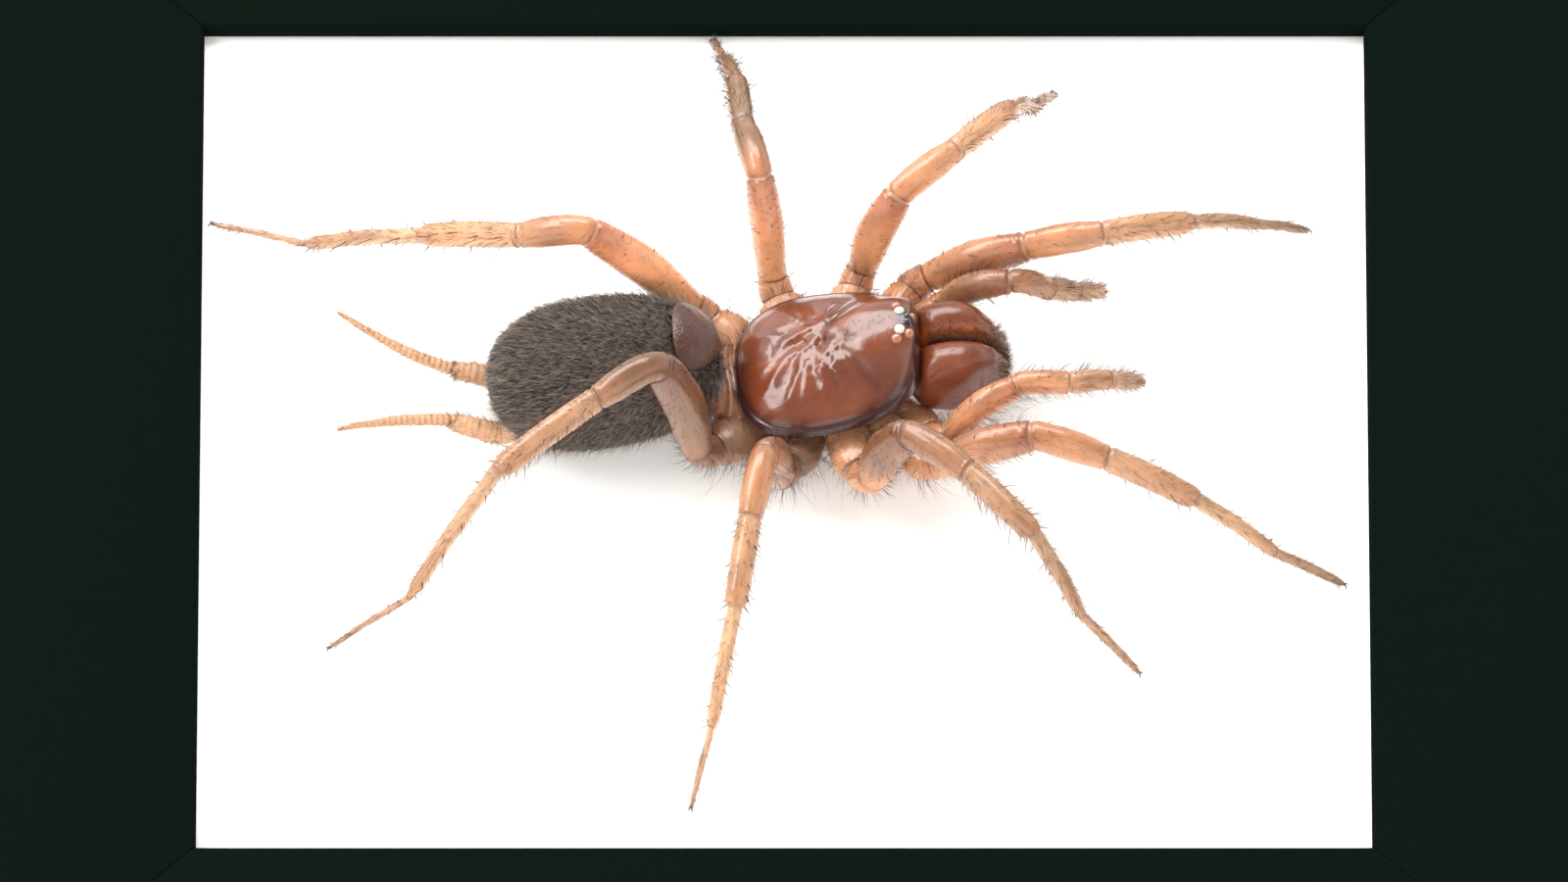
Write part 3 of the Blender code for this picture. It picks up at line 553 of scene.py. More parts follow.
class Limb:
    """A limb's skin, measured along its bent middle line."""

    def __init__(self, joints, shape, bows, broad=1.0, slim=1.0):
        joints = np.array(joints)
        self.count = len(joints) - 1
        spans = np.diff(joints, axis=0)
        sizes = np.linalg.norm(spans, axis=1)
        ways = spans / sizes[:, None]
        sideways = unit(np.stack((-ways[:, 1], ways[:, 0], np.zeros(self.count)), axis=1))
        upwards = np.cross(ways, sideways)
        knots = []
        for k, stations in enumerate(shape):
            wide = broad if k == 0 else 1.0
            thin = slim if k == len(shape) - 1 else 1.0
            knots += [(k + share, w * wide * thin, d * thin) for share, w, d in stations]
        knots.append((self.count, knots[-1][1] * 0.55, knots[-1][2] * 0.55))
        knots = np.array(knots)
        cuts = np.zeros(self.count + 1)
        for k in range(1, self.count):
            half = 0.5 * math.acos(np.clip(ways[k - 1] @ ways[k], -1.0, 1.0))
            depth = np.interp(k, knots[:, 0], knots[:, 2])
            wanted = max(1.1 * depth * math.sin(half) / math.cos(half) ** 2, 0.15)
            cuts[k] = min(wanted, 0.46 * sizes[k - 1], 0.46 * sizes[k])
        points = []
        marks = []
        for k in range(self.count):
            start = cuts[k] / sizes[k]
            end = 1.0 - cuts[k + 1] / sizes[k]
            for share in np.linspace(start, end, max(int((end - start) * sizes[k] / 0.05), 3)):
                points.append(joints[k] + spans[k] * share)
                marks.append(k + share)
            if k + 1 < self.count:
                corner = joints[k + 1]
                leave = corner - ways[k] * cuts[k + 1]
                enter = corner + ways[k + 1] * cuts[k + 1]
                after = k + 1 + cuts[k + 1] / sizes[k + 1]
                for t in np.linspace(0.0, 1.0, 26)[1:-1]:
                    points.append(leave * (1 - t) ** 2 + corner * 2 * t * (1 - t) + enter * t * t)
                    marks.append((k + end) * (1 - t) + after * t)
        marks = np.array(marks)
        points = np.array(points)
        segment = np.clip(marks.astype(int), 0, self.count - 1)
        share = marks - segment
        points += upwards[segment] * (np.array(bows)[segment] * np.sin(math.pi * share) ** 2)[:, None]
        self.marks = marks
        self.points = points
        self.reach = run_length(points)
        self.ahead = unit(np.gradient(points, self.reach, axis=0))
        middles = np.concatenate(((0.0,), np.arange(self.count) + 0.5, (self.count,)))
        spread = np.concatenate((sideways[:1], sideways, sideways[-1:]))
        across = np.stack([np.interp(marks, middles, spread[:, axis]) for axis in range(3)], axis=1)
        for k in range(1, self.count):
            near = np.abs(marks - k) < 0.5
            blend = smooth_step(-0.35, 0.35, marks[near] - k)[:, None]
            across[near] = sideways[k - 1] * (1.0 - blend) + sideways[k] * blend
        self.across = unit(across - self.ahead * np.sum(across * self.ahead, axis=1, keepdims=True))
        self.up = np.cross(self.ahead, self.across)
        self.width = self.eased(np.interp(marks, knots[:, 0], knots[:, 1]))
        self.depth = self.eased(np.interp(marks, knots[:, 0], knots[:, 2]))
        self.joints_at = np.interp(np.arange(1, self.count), marks, self.reach)

    def eased(self, values, width=0.16):
        """Values softened along the limb."""
        even = np.arange(0.0, self.reach[-1] + 0.04, 0.04)
        sampled = np.interp(even, self.reach, values)
        window = np.exp(-(np.arange(-12, 13) * 0.04 / width) ** 2)
        padded = np.pad(sampled, 12, mode="edge")
        return np.interp(self.reach, even, np.convolve(padded, window / window.sum(), mode="valid"))

    def at(self, reach):
        """Middle, across, up, ahead, half width and half depth at distances along the limb."""
        def read(values):
            if values.ndim == 1:
                return np.interp(reach, self.reach, values)
            return np.stack([np.interp(reach, self.reach, values[:, axis]) for axis in range(3)], axis=-1)
        return [read(v) for v in (self.points, self.across, self.up, self.ahead, self.width, self.depth)]

    def skin(self, reach, turn, outwards=0.0):
        """Points of the skin, their normals and the way towards the tip."""
        middle, across, up, ahead, width, depth = self.at(reach)
        c = np.cos(turn)[..., None]
        s = np.sin(turn)[..., None]
        fold = self.relief(reach)[..., None]
        w = width[..., None] * fold
        d = depth[..., None] * fold
        normal = unit(across * c / w + up * s / d)
        return middle + across * c * w + up * s * d + normal * outwards, normal, ahead

    def joint_size(self, at):
        """Half width at a joint, kept within the range that its marks suit."""
        return np.clip(np.interp(at, self.reach, self.width), 0.35, 1.1)

    def relief(self, reach):
        """Swelling and narrowing of the skin about the joints."""
        fold = np.ones_like(reach)
        for at in self.joints_at:
            size = self.joint_size(at)
            off = (reach - at) / size
            fold += 0.05 * bump(off + 0.28, 0.14) - 0.12 * bump(off, 0.1) + 0.03 * bump(off - 0.3, 0.2)
        return fold

    def ring_places(self, step=0.42):
        """Distances along the limb for its rings, closer together at the joints."""
        places = list(np.arange(0.0, self.reach[-1], step))
        places += [self.reach[-1] - 0.12, self.reach[-1] - 0.05, self.reach[-1]]
        for at in self.joints_at:
            size = self.joint_size(at)
            places += [at + size * off for off in JOINT_RINGS]
        places = sorted(p for p in places if 0.0 <= p <= self.reach[-1])
        kept = [places[0]]
        for place in places[1:]:
            if place - kept[-1] > 0.045:
                kept.append(place)
        return np.array(kept)

    def surface(self, sides=LIMB_SIDES):
        """Rings of skin with their distances and turns."""
        places = self.ring_places()
        turns = np.arange(sides) * TAU / sides
        reach, turn = np.meshgrid(places, turns, indexing="ij")
        points, _, _ = self.skin(reach, turn)
        return reach, turn, points

    def mark(self, reach):
        """Segment number and share at distances along the limb."""
        return np.interp(reach, self.reach, self.marks)

    def reach_of(self, mark):
        """Distance along the limb of a segment number and share."""
        return np.interp(mark, self.marks, self.reach)


def limb_tones(limb, reach, turn, names, colours, seed):
    """Skin colour along and round a limb."""
    mark = limb.mark(reach)
    segment = np.clip(mark.astype(int), 0, limb.count - 1)
    share = mark - segment
    near = np.array([getattr(colours, name + "_near") for name in names])
    far = np.array([getattr(colours, name + "_far") for name in names])
    tone = mixed(near[segment], far[segment], share)
    top = np.sin(turn)
    # Painted shade and painted bounce light: the top of each limb is darkened and its underside lightened.
    tone = tone * (1.0 - 0.16 * smooth_step(-0.2, 1.0, top))[..., None]
    tone = tone * (1.0 + 0.1 * smooth_step(0.1, 1.0, -top))[..., None]
    streak = ripple(np.stack((reach * 0.35, np.cos(turn) * 1.2, top * 1.2), axis=-1), 1.3, seed)
    tone = tone * (1.0 + 0.17 * streak)[..., None]
    edge = np.zeros_like(reach)
    skin = np.zeros_like(reach)
    for at in limb.joints_at:
        size = limb.joint_size(at)
        off = (reach - at) / size
        edge = np.maximum(edge, 0.75 * bump(off + 0.15, 0.06) * (0.4 + 0.6 * smooth_step(-0.5, 0.7, top)))
        edge = np.maximum(edge, 0.7 * bump(off - 0.12, 0.06) * bump(np.abs(np.cos(turn)) - 1.0, 0.4))
        edge = np.maximum(edge, 0.3 * bump(off, 0.35))
        skin = np.maximum(skin, 0.25 * bump(off + 0.02, 0.09))
    tone = mixed(tone, colours.membrane, skin)
    return mixed(tone, colours.joint_edge, edge)


def limb_piece(name, limb, names, settings, seed, pale=None):
    """One limb's skin as a mesh; pale scales its hip and its segments from the femur on, partly own tone and partly
    painted light and shade.
    """
    reach, turn, points = limb.surface()
    tones = limb_tones(limb, reach, turn, names, settings.limbs, seed)
    # Painted light and shade, with some own tone: each segment's brightness is scaled by its factor.
    if pale:
        marks = np.concatenate(((0.0, 1.9), np.arange(len(pale) - 1) + 2.5))
        tones = tones * np.interp(limb.mark(reach), marks, pale[:1] + pale)[..., None]
    grain = ripple(points, 0.9, seed + 1) * 0.012
    normals = limb.skin(reach, turn)[1]
    points = points + normals * grain[..., None]
    first = points[0].mean(axis=0) - limb.ahead[0] * 0.12
    last = points[-1].mean(axis=0) + limb.ahead[-1] * 0.04
    return ringed(name, points, tones, first, last, standing(LEGS_YAW))


# Each leg's brightness, partly its own tone and partly painted light: the left legs, on the side away from the camera,
# are painted brighter as if lit through from behind, the right hind hips darker as painted shade, and some segments
# carry painted highlights: hip, femur, patella, tibia, metatarsus, tarsus
LEG_TONE_AND_PAINTED_LIGHT = {
    (1, "left"): (1.8, 1.35, 1.3, 1.25, 0.95, 0.65), (2, "left"): (1.7, 1.5, 1.5, 1.45, 1.3, 1.2),
    (3, "left"): (1.6, 2.0, 0.55, 0.65, 0.9, 0.95), (4, "left"): (1.3, 2.5, 1.0, 1.75, 1.2, 1.3),
    (1, "right"): (1.35, 1.25, 1.35, 1.08, 1.08, 0.7), (2, "right"): (1.4, 0.5, 0.85, 1.0, 0.9, 1.0),
    (3, "right"): (0.45, 0.8, 1.3, 1.15, 1.5, 1.35), (4, "right"): (0.58, 0.45, 0.55, 1.05, 1.35, 1.0),
}
# The palps' brightness, likewise partly their own tone and partly painted light and shade: hip, femur, patella, tibia,
# tarsus
PALP_TONE_AND_PAINTED_LIGHT = {"left": (1.5, 0.72, 0.85, 1.05, 1.2), "right": (1.7, 1.6, 1.5, 1.05, 1.0)}
LEG_NAMES = ("coxa", "trochanter", "femur", "patella", "tibia", "metatarsus", "tarsus")
PALP_NAMES = ("coxa", "trochanter", "femur", "patella", "tibia", "tarsus")

# Hair by segment: share of the density, shortest, longest, lift, width
LEG_HAIR = ((1.3, 0.7, 1.8, 60, 0.014), (1.3, 0.6, 1.7, 62, 0.014), (0.9, 0.4, 1.1, 48, 0.013),
            (0.55, 0.4, 0.9, 50, 0.013), (1.15, 0.45, 1.15, 50, 0.014), (1.1, 0.4, 0.95, 45, 0.013),
            (1.5, 0.3, 0.65, 42, 0.012))
PALP_HAIR = ((0.5, 0.5, 1.0, 55, 0.014), (0.6, 0.5, 1.1, 60, 0.014), (1.0, 0.6, 1.6, 55, 0.013),
             (0.9, 0.5, 1.3, 50, 0.013), (1.6, 0.6, 1.6, 52, 0.012), (3.0, 0.4, 1.0, 42, 0.01))


def limb_coat(tufts, limb, table, density, coat, rng):
    """Fine bristles all along a limb."""
    for k, (dense, short, long, lift, width) in enumerate(table):
        start = limb.reach_of(float(k)) + 0.15
        end = limb.reach_of(k + 1.0) - 0.1
        if k == 0:
            start += 1.2
        count = int(density * dense * max(end - start, 0.1))
        reach = rng.uniform(start, end, count)
        turn = rng.uniform(0.0, TAU, count)
        roots, normals, ahead = limb.skin(reach, turn)
        ways = leaning(ahead, normals, lift, rng)
        bends = ahead * 0.55 - normals * 0.15 + rng.normal(0.0, 0.12, (count, 3))
        shade = rng.uniform(0.0, 1.0, count)
        near = mixed(coat.dark, coat.tip, shade * 0.4)
        lengths = rng.uniform(short, long, count) * np.where(rng.uniform(0.0, 1.0, count) < 0.1, 2.1, 1.0)
        tufts.add(roots, ways, bends, lengths, width * rng.uniform(0.7, 1.15, count), near, coat.tip,
                  standing(LEGS_YAW))


def limb_spines(tufts, limb, places, coat, rng):
    """Stiff dark spines at given segments, shares and turns."""
    mark, degrees, lengths = np.array(places, dtype=float).T
    count = len(mark)
    turn = np.radians(degrees + rng.normal(0.0, 8.0, count))
    roots, normals, ahead = limb.skin(limb.reach_of(mark + rng.normal(0.0, 0.02, count)), turn)
    ways = leaning(ahead, normals, 52, rng, 0.15)
    tufts.add(roots, ways, ahead * 0.25, lengths, 0.036, coat.spine,
              mixed(coat.spine, coat.dark, np.full(count, 0.6)), standing(LEGS_YAW))


def spine_places(number):
    """Where a leg's stiff spines stand: segment and share, turn, length."""
    places = [(2.3, 70, 1.0), (2.55, 100, 1.1), (2.8, 80, 0.9), (2.9, 130, 0.8)]
    for share in (0.2, 0.5, 0.8):
        places += [(4 + share, -55, 1.7), (4 + share, -125, 1.7)]
    places += [(4.4, 20, 1.3), (4.7, 165, 1.3), (4.95, -30, 1.4), (4.95, -150, 1.4), (4.96, -90, 1.5)]
    for share in (0.12, 0.32, 0.52, 0.72, 0.92):
        places += [(5 + share, -50, 1.25), (5 + share, -130, 1.25)]
    places += [(5.95, -5, 1.1), (5.95, 185, 1.1), (5.96, -90, 1.2)]
    if number >= 3:
        for share in (0.15, 0.38, 0.6, 0.82, 0.97):
            places += [(5 + share, 25, 1.5), (5 + share, 150, 1.5), (4 + share * 0.9, 40, 1.3)]
    return places


def claws(limb, name, settings):
    """Two small hooked claws at the tip of a leg."""
    tip = limb.points[-1]
    ahead = limb.ahead[-1]
    across = limb.across[-1]
    up = limb.up[-1]
    made = []
    for side in (-1.0, 1.0):
        out = unit(across * side * 0.55 + ahead)
        line = [tip - ahead * 0.12 + across * side * 0.05,
                tip + out * 0.14 + up * 0.05,
                tip + out * 0.28 + up * 0.02,
                tip + out * 0.37 - up * 0.09,
                tip + out * 0.38 - up * 0.2]
        widths = (0.075, 0.06, 0.048, 0.032, 0.012)
        made.append(tube(name + "_claw", np.array(line), widths, 8, settings.coat.dark, standing(LEGS_YAW)))
    return made


def tube(name, line, widths, sides, tone, placing, rings=14):
    """A small tapering tube along a smoothed line."""
    line = np.array(line, dtype=float)
    steps = np.linspace(0.0, len(line) - 1.0, rings)
    places = np.stack([spline(steps, line[:, axis]) for axis in range(3)], axis=1)
    radii = np.interp(steps, np.arange(len(line)), widths)
    ahead = unit(np.gradient(places, axis=0))
    helper = np.array((0.0, 0.0, 1.0)) if abs(ahead[0][2]) < 0.9 else np.array((1.0, 0.0, 0.0))
    across = [unit(np.cross(helper, ahead[0]))]
    for way in ahead[1:]:
        across.append(unit(across[-1] - way * (across[-1] @ way)))
    across = np.array(across)
    up = np.cross(ahead, across)
    made = places[:, None] + circles(across, up, sides) * radii[:, None, None]
    tones = np.broadcast_to(np.asarray(tone), made.shape)
    return ringed(name, made, tones, places[0] - ahead[0] * widths[0] * 0.4,
                  places[-1] + ahead[-1] * widths[-1] * 0.6, placing)


def spline(at, values):
    """Smooth curve through evenly spaced values."""
    values = np.asarray(values, dtype=float)
    low = np.clip(np.floor(at).astype(int), 0, len(values) - 2)
    t = at - low
    padded = np.concatenate(((2 * values[0] - values[1],), values, (2 * values[-1] - values[-2],)))
    a, b, c, d = (padded[low + k] for k in range(4))
    return 0.5 * (2 * b + (c - a) * t + (2 * a - 5 * b + 4 * c - d) * t * t + (3 * b - a - 3 * c + d) * t ** 3)


# Finishes

def node(tree, kind, **values):
    """Add a shader node and set its fields and inputs."""
    made = tree.nodes.new(kind)
    for name, value in values.items():
        if name in made.inputs:
            made.inputs[name].default_value = value
        else:
            setattr(made, name, value)
    return made


def mottling_group():
    """Shared effect: patches and grain over a painted tint, with a height and a roughness shift."""
    found = bpy.data.node_groups.get("Cuticle mottling")
    if found:
        return found
    group = bpy.data.node_groups.new("Cuticle mottling", "ShaderNodeTree")
    face = group.interface
    face.new_socket("Tint", in_out="INPUT", socket_type="NodeSocketColor")
    for name, value in (("Patch scale", 700.0), ("Patch strength", 0.15), ("Grain scale", 6000.0),
                        ("Grain strength", 0.1), ("Stretch", 1.0)):
        face.new_socket(name, in_out="INPUT", socket_type="NodeSocketFloat").default_value = value
    for name, kind in (("Colour", "NodeSocketColor"), ("Height", "NodeSocketFloat"), ("Shift", "NodeSocketFloat")):
        face.new_socket(name, in_out="OUTPUT", socket_type=kind)
    enter = node(group, "NodeGroupInput")
    leave = node(group, "NodeGroupOutput")
    place = node(group, "ShaderNodeTexCoord")
    patch = node(group, "ShaderNodeTexNoise", Detail=3.0, Roughness=0.55)
    grain = node(group, "ShaderNodeTexNoise", Detail=2.0, Roughness=0.6)
    link = group.links.new
    for texture, scale in ((patch, "Patch scale"), (grain, "Grain scale")):
        link(place.outputs["Object"], texture.inputs["Vector"])
        link(enter.outputs[scale], texture.inputs["Scale"])
    strength = []
    for texture, name in ((patch, "Patch strength"), (grain, "Grain strength")):
        centred = node(group, "ShaderNodeMath", operation="SUBTRACT")
        centred.inputs[1].default_value = 0.5
        link(texture.outputs["Fac"], centred.inputs[0])
        scaled = node(group, "ShaderNodeMath", operation="MULTIPLY")
        link(centred.outputs[0], scaled.inputs[0])
        link(enter.outputs[name], scaled.inputs[1])
        strength.append(scaled)
    total = node(group, "ShaderNodeMath", operation="ADD")
    link(strength[0].outputs[0], total.inputs[0])
    link(strength[1].outputs[0], total.inputs[1])
    lifted = node(group, "ShaderNodeMath", operation="MULTIPLY_ADD")
    lifted.inputs[1].default_value = 2.0
    lifted.inputs[2].default_value = 1.0
    link(total.outputs[0], lifted.inputs[0])
    shaded = node(group, "ShaderNodeVectorMath", operation="SCALE")
    link(enter.outputs["Tint"], shaded.inputs[0])
    link(lifted.outputs[0], shaded.inputs["Scale"])
    link(shaded.outputs[0], leave.inputs["Colour"])
    height = node(group, "ShaderNodeMath", operation="MULTIPLY_ADD")
    height.inputs[1].default_value = 0.4
    link(patch.outputs["Fac"], height.inputs[0])
    link(grain.outputs["Fac"], height.inputs[2])
    link(height.outputs[0], leave.inputs["Height"])
    link(strength[0].outputs[0], leave.inputs["Shift"])
    return group


def tinted_finish(name, rough, coat=0.0, patch=(700.0, 0.15), grain=(6000.0, 0.1), height=0.02, relief=0.25,
                  specular=0.5, coat_rough=0.1, soft=0.0):
    """A cuticle finish that takes its colour from the painted tint."""
    found = bpy.data.materials.get(name)
    if found:
        return found
    made = bpy.data.materials.new(name)
    made.use_nodes = True
    tree = made.node_tree
    shader = tree.nodes["Principled BSDF"]
    link = tree.links.new
    tint = node(tree, "ShaderNodeAttribute", attribute_name="tint", attribute_type="GEOMETRY")
    mottle = node(tree, "ShaderNodeGroup", node_tree=mottling_group())
    mottle.inputs["Patch scale"].default_value, mottle.inputs["Patch strength"].default_value = patch
    mottle.inputs["Grain scale"].default_value, mottle.inputs["Grain strength"].default_value = grain
    link(tint.outputs["Color"], mottle.inputs["Tint"])
    link(mottle.outputs["Colour"], shader.inputs["Base Color"])
    gloss = node(tree, "ShaderNodeMath", operation="MULTIPLY_ADD", use_clamp=True)
    gloss.inputs[1].default_value = 0.6
    gloss.inputs[2].default_value = rough
    link(mottle.outputs["Shift"], gloss.inputs[0])
    link(gloss.outputs[0], shader.inputs["Roughness"])
    lift = node(tree, "ShaderNodeBump", Strength=relief, Distance=height * MM)
    link(mottle.outputs["Height"], lift.inputs["Height"])
    link(lift.outputs["Normal"], shader.inputs["Normal"])
    shader.inputs["Specular IOR Level"].default_value = specular
    shader.inputs["Coat Weight"].default_value = coat
    shader.inputs["Coat Roughness"].default_value = coat_rough
    if soft:
        shader.inputs["Subsurface Weight"].default_value = soft
        shader.inputs["Subsurface Radius"].default_value = (1.0, 0.45, 0.22)
        shader.inputs["Subsurface Scale"].default_value = 0.5 * MM
    return made


# Cuticle finishes: name, roughness, coat, patches and grain (scale, strength), bump in mm and its
# strength, then specular, coat roughness and softness where they differ from the usual
CUTICLES = {
    "shield": ("Polished mahogany cuticle", 0.24, 0.4, (480.0, 0.34), (5200.0, 0.2), 0.04, 0.4, 0.5, 0.12),
    "jaw": ("Jaw cuticle", 0.32, 0.3, (520.0, 0.2), (6500.0, 0.14), 0.03, 0.3, 0.5, 0.2),
    "limb": ("Limb cuticle", 0.32, 0.4, (800.0, 0.22), (7500.0, 0.2), 0.03, 0.4, 0.5, 0.16, 0.25),
    "velvet": ("Abdomen skin", 0.85, 0.0, (900.0, 0.3), (9000.0, 0.3), 0.05, 0.6, 0.2),
    "spinneret": ("Ringed skin", 0.5, 0.0, (900.0, 0.12), (8000.0, 0.14), 0.03, 0.3, 0.4, 0.1, 0.25),
    "lens": ("Eye lens", 0.06, 1.0, (1500.0, 0.1), (9000.0, 0.02), 0.002, 0.02, 0.8, 0.03),
    "bristle": ("Bristle", 0.5, 0.0, (600.0, 0.2), (4000.0, 0.1), 0.005, 0.05, 0.4),
    "plate": ("Pebbled plate", 0.42, 0.4, (650.0, 0.25), (7000.0, 0.2), 0.03, 0.3, 0.4, 0.16),
}


def cuticle(kind):
    """One of the finishes in the table."""
    return tinted_finish(*CUTICLES[kind])


def plate_finish():
    """Dark plate with a fine pebbled grain."""
    made = cuticle("plate")
    tree = made.node_tree
    lift = next(n for n in tree.nodes if n.bl_idname == "ShaderNodeBump")
    if not lift.inputs["Normal"].is_linked:
        place = node(tree, "ShaderNodeTexCoord")
        cells = node(tree, "ShaderNodeTexVoronoi", Scale=5200.0)
        tree.links.new(place.outputs["Object"], cells.inputs["Vector"])
        pebbles = node(tree, "ShaderNodeBump", Strength=0.7, Distance=0.05 * MM, invert=True)
        tree.links.new(lift.outputs["Normal"], tree.nodes["Principled BSDF"].inputs["Coat Normal"])
        tree.links.new(cells.outputs["Distance"], pebbles.inputs["Height"])
        tree.links.new(pebbles.outputs["Normal"], lift.inputs["Normal"])
    return made


def plain_finish(name, tone, rough, specular, grain_scale, grain_strength, height):
    """A finish of one colour with fine grain, for card, paint and the floor."""
    made = bpy.data.materials.new(name)
    made.use_nodes = True
    tree = made.node_tree
    shader = tree.nodes["Principled BSDF"]
    place = node(tree, "ShaderNodeTexCoord")
    grain = node(tree, "ShaderNodeTexNoise", Scale=grain_scale, Detail=4.0, Roughness=0.6)
    tree.links.new(place.outputs["Object"], grain.inputs["Vector"])
    shade = node(tree, "ShaderNodeMapRange")
    shade.inputs["To Min"].default_value = 1.0 - grain_strength
    shade.inputs["To Max"].default_value = 1.0 + grain_strength
    tree.links.new(grain.outputs["Fac"], shade.inputs["Value"])
    scaled = node(tree, "ShaderNodeVectorMath", operation="SCALE")
    scaled.inputs[0].default_value = tone
    tree.links.new(shade.outputs[0], scaled.inputs["Scale"])
    tree.links.new(scaled.outputs[0], shader.inputs["Base Color"])
    lift = node(tree, "ShaderNodeBump", Strength=0.3, Distance=height * MM)
    tree.links.new(grain.outputs["Fac"], lift.inputs["Height"])
    tree.links.new(lift.outputs["Normal"], shader.inputs["Normal"])
    shader.inputs["Roughness"].default_value = rough
    shader.inputs["Specular IOR Level"].default_value = specular
    return made


# Body parts

def shield_outline(turn):
    """Points of the shield's outline, blunt behind and narrower in front."""
    c = np.cos(turn)
    s = np.sin(turn)
    power = 2.0 / np.where(c > 0.0, SHIELD_FRONT_SQUARENESS, SHIELD_SQUARENESS)
    x = SHIELD_HALF_LENGTH * np.sign(c) * np.abs(c) ** power
    y = SHIELD_HALF_WIDTH * np.sign(s) * np.abs(s) ** power
    return x, y * (1.0 - SHIELD_TAPER * x / SHIELD_HALF_LENGTH)


def near_line(x, y, line):
    """Distance of places from a bent line, and the share of the line's length that each is beside."""
    line = np.array(line)
    steps = np.diff(line, axis=0)
    sizes = np.linalg.norm(steps, axis=1)
    starts = np.concatenate(((0.0,), np.cumsum(sizes)))
    best = np.full(np.shape(x), np.inf)
    share = np.zeros(np.shape(x))
    for k, (step, size) in enumerate(zip(steps, sizes)):
        along = np.clip(((x - line[k, 0]) * step[0] + (y - line[k, 1]) * step[1]) / size ** 2, 0.0, 1.0)
        away = np.hypot(x - line[k, 0] - step[0] * along, y - line[k, 1] - step[1] * along)
        share = np.where(away < best, (starts[k] + size * along) / starts[-1], share)
        best = np.minimum(best, away)
    return best, share


def shield_height(x, y, share):
    """Height above the margin: dome, raised head with a steep face, eye mound, pit, ridges and rolled rim."""
    face = FACE_STEEPNESS * smooth_step(3.5, 6.0, x) * bump(y, FACE_HALF_WIDTH)
    steep = 3.7 + 2.3 * smooth_step(0.0, SHIELD_HALF_LENGTH, x) + face
    inside = 1.0 - share ** (8.0 + face)
    height = DOME_RISE * (1.0 - share ** steep)
    crown = np.exp(-((y - HEAD_DRIFT * x) / HEAD_HALF_WIDTH) ** 4)
    slope = 0.65 * np.clip((x + 2.4) / 6.2, 0.0, 1.0) + 0.35 * smooth_step(-2.4, 3.8, x)
    height += HEAD_RISE * slope * crown * inside
    height += 0.2 * bump(x - EYE_MOUND[0], 0.8) * bump(y - EYE_MOUND[1], 1.4) * inside
    height -= 0.3 * bump(x + 0.1, 0.4) * bump(y - 0.15, 0.6)
    wander = 0.1 * ripple(np.stack((x, y), axis=-1), 1.1, 23)
    for rise, wide, line in SHIELD_RELIEF:
        away, along = near_line(x, y, line)
        ends = smooth_step(0.0, 0.12, along) * (1.0 - 0.75 * smooth_step(0.75, 1.0, along))
        spread = wide * (1.0 + 0.45 * along)
        height += 0.92 * rise * (0.35 + 0.65 * ends) * bump(np.maximum(away + wander * 0.5, 0.0), spread) * inside
    grain = np.stack((x, y), axis=-1)
    thorax = 1.0 - smooth_step(0.5, 2.6, x)
    height += 0.012 * ripple(grain, 0.7, 21) * thorax * inside
    height += 0.02 * ripple(grain, 1.6, 22) * inside
    height += 0.05 * bump(share - 0.98, 0.018) - 0.06 * bump(share - 0.94, 0.025)
    return height


def face_lean(x, y, z):
    """Places carried forward so that the head's face stands upright."""
    return x + (FACE_LEAN * z + FACE_CORNER * smooth_step(0.5, 3.0, y)) * smooth_step(3.5, 6.0, x)


def shield_point(x, y):
    """Where a place on the plan meets the shield's top, with its normal."""
    def top(px, py):
        turns = np.linspace(0.0, TAU, 720)
        edge_x, edge_y = shield_outline(turns)
        bearing = math.atan2(py, px)
        edge = np.arctan2(edge_y, edge_x)
        nearest = int(np.argmin(np.abs(np.angle(np.exp(1j * (edge - bearing))))))
        share = math.hypot(px, py) / math.hypot(edge_x[nearest], edge_y[nearest])
        return float(shield_height(np.array(px), np.array(py), np.array(min(share, 1.0))))
    step = 0.12
    z = top(x, y)
    normal = np.array((top(x - step, y) - top(x + step, y), top(x, y - step) - top(x, y + step), 2 * step))
    return np.array((float(face_lean(x, y, z)), y, z)), unit(normal)


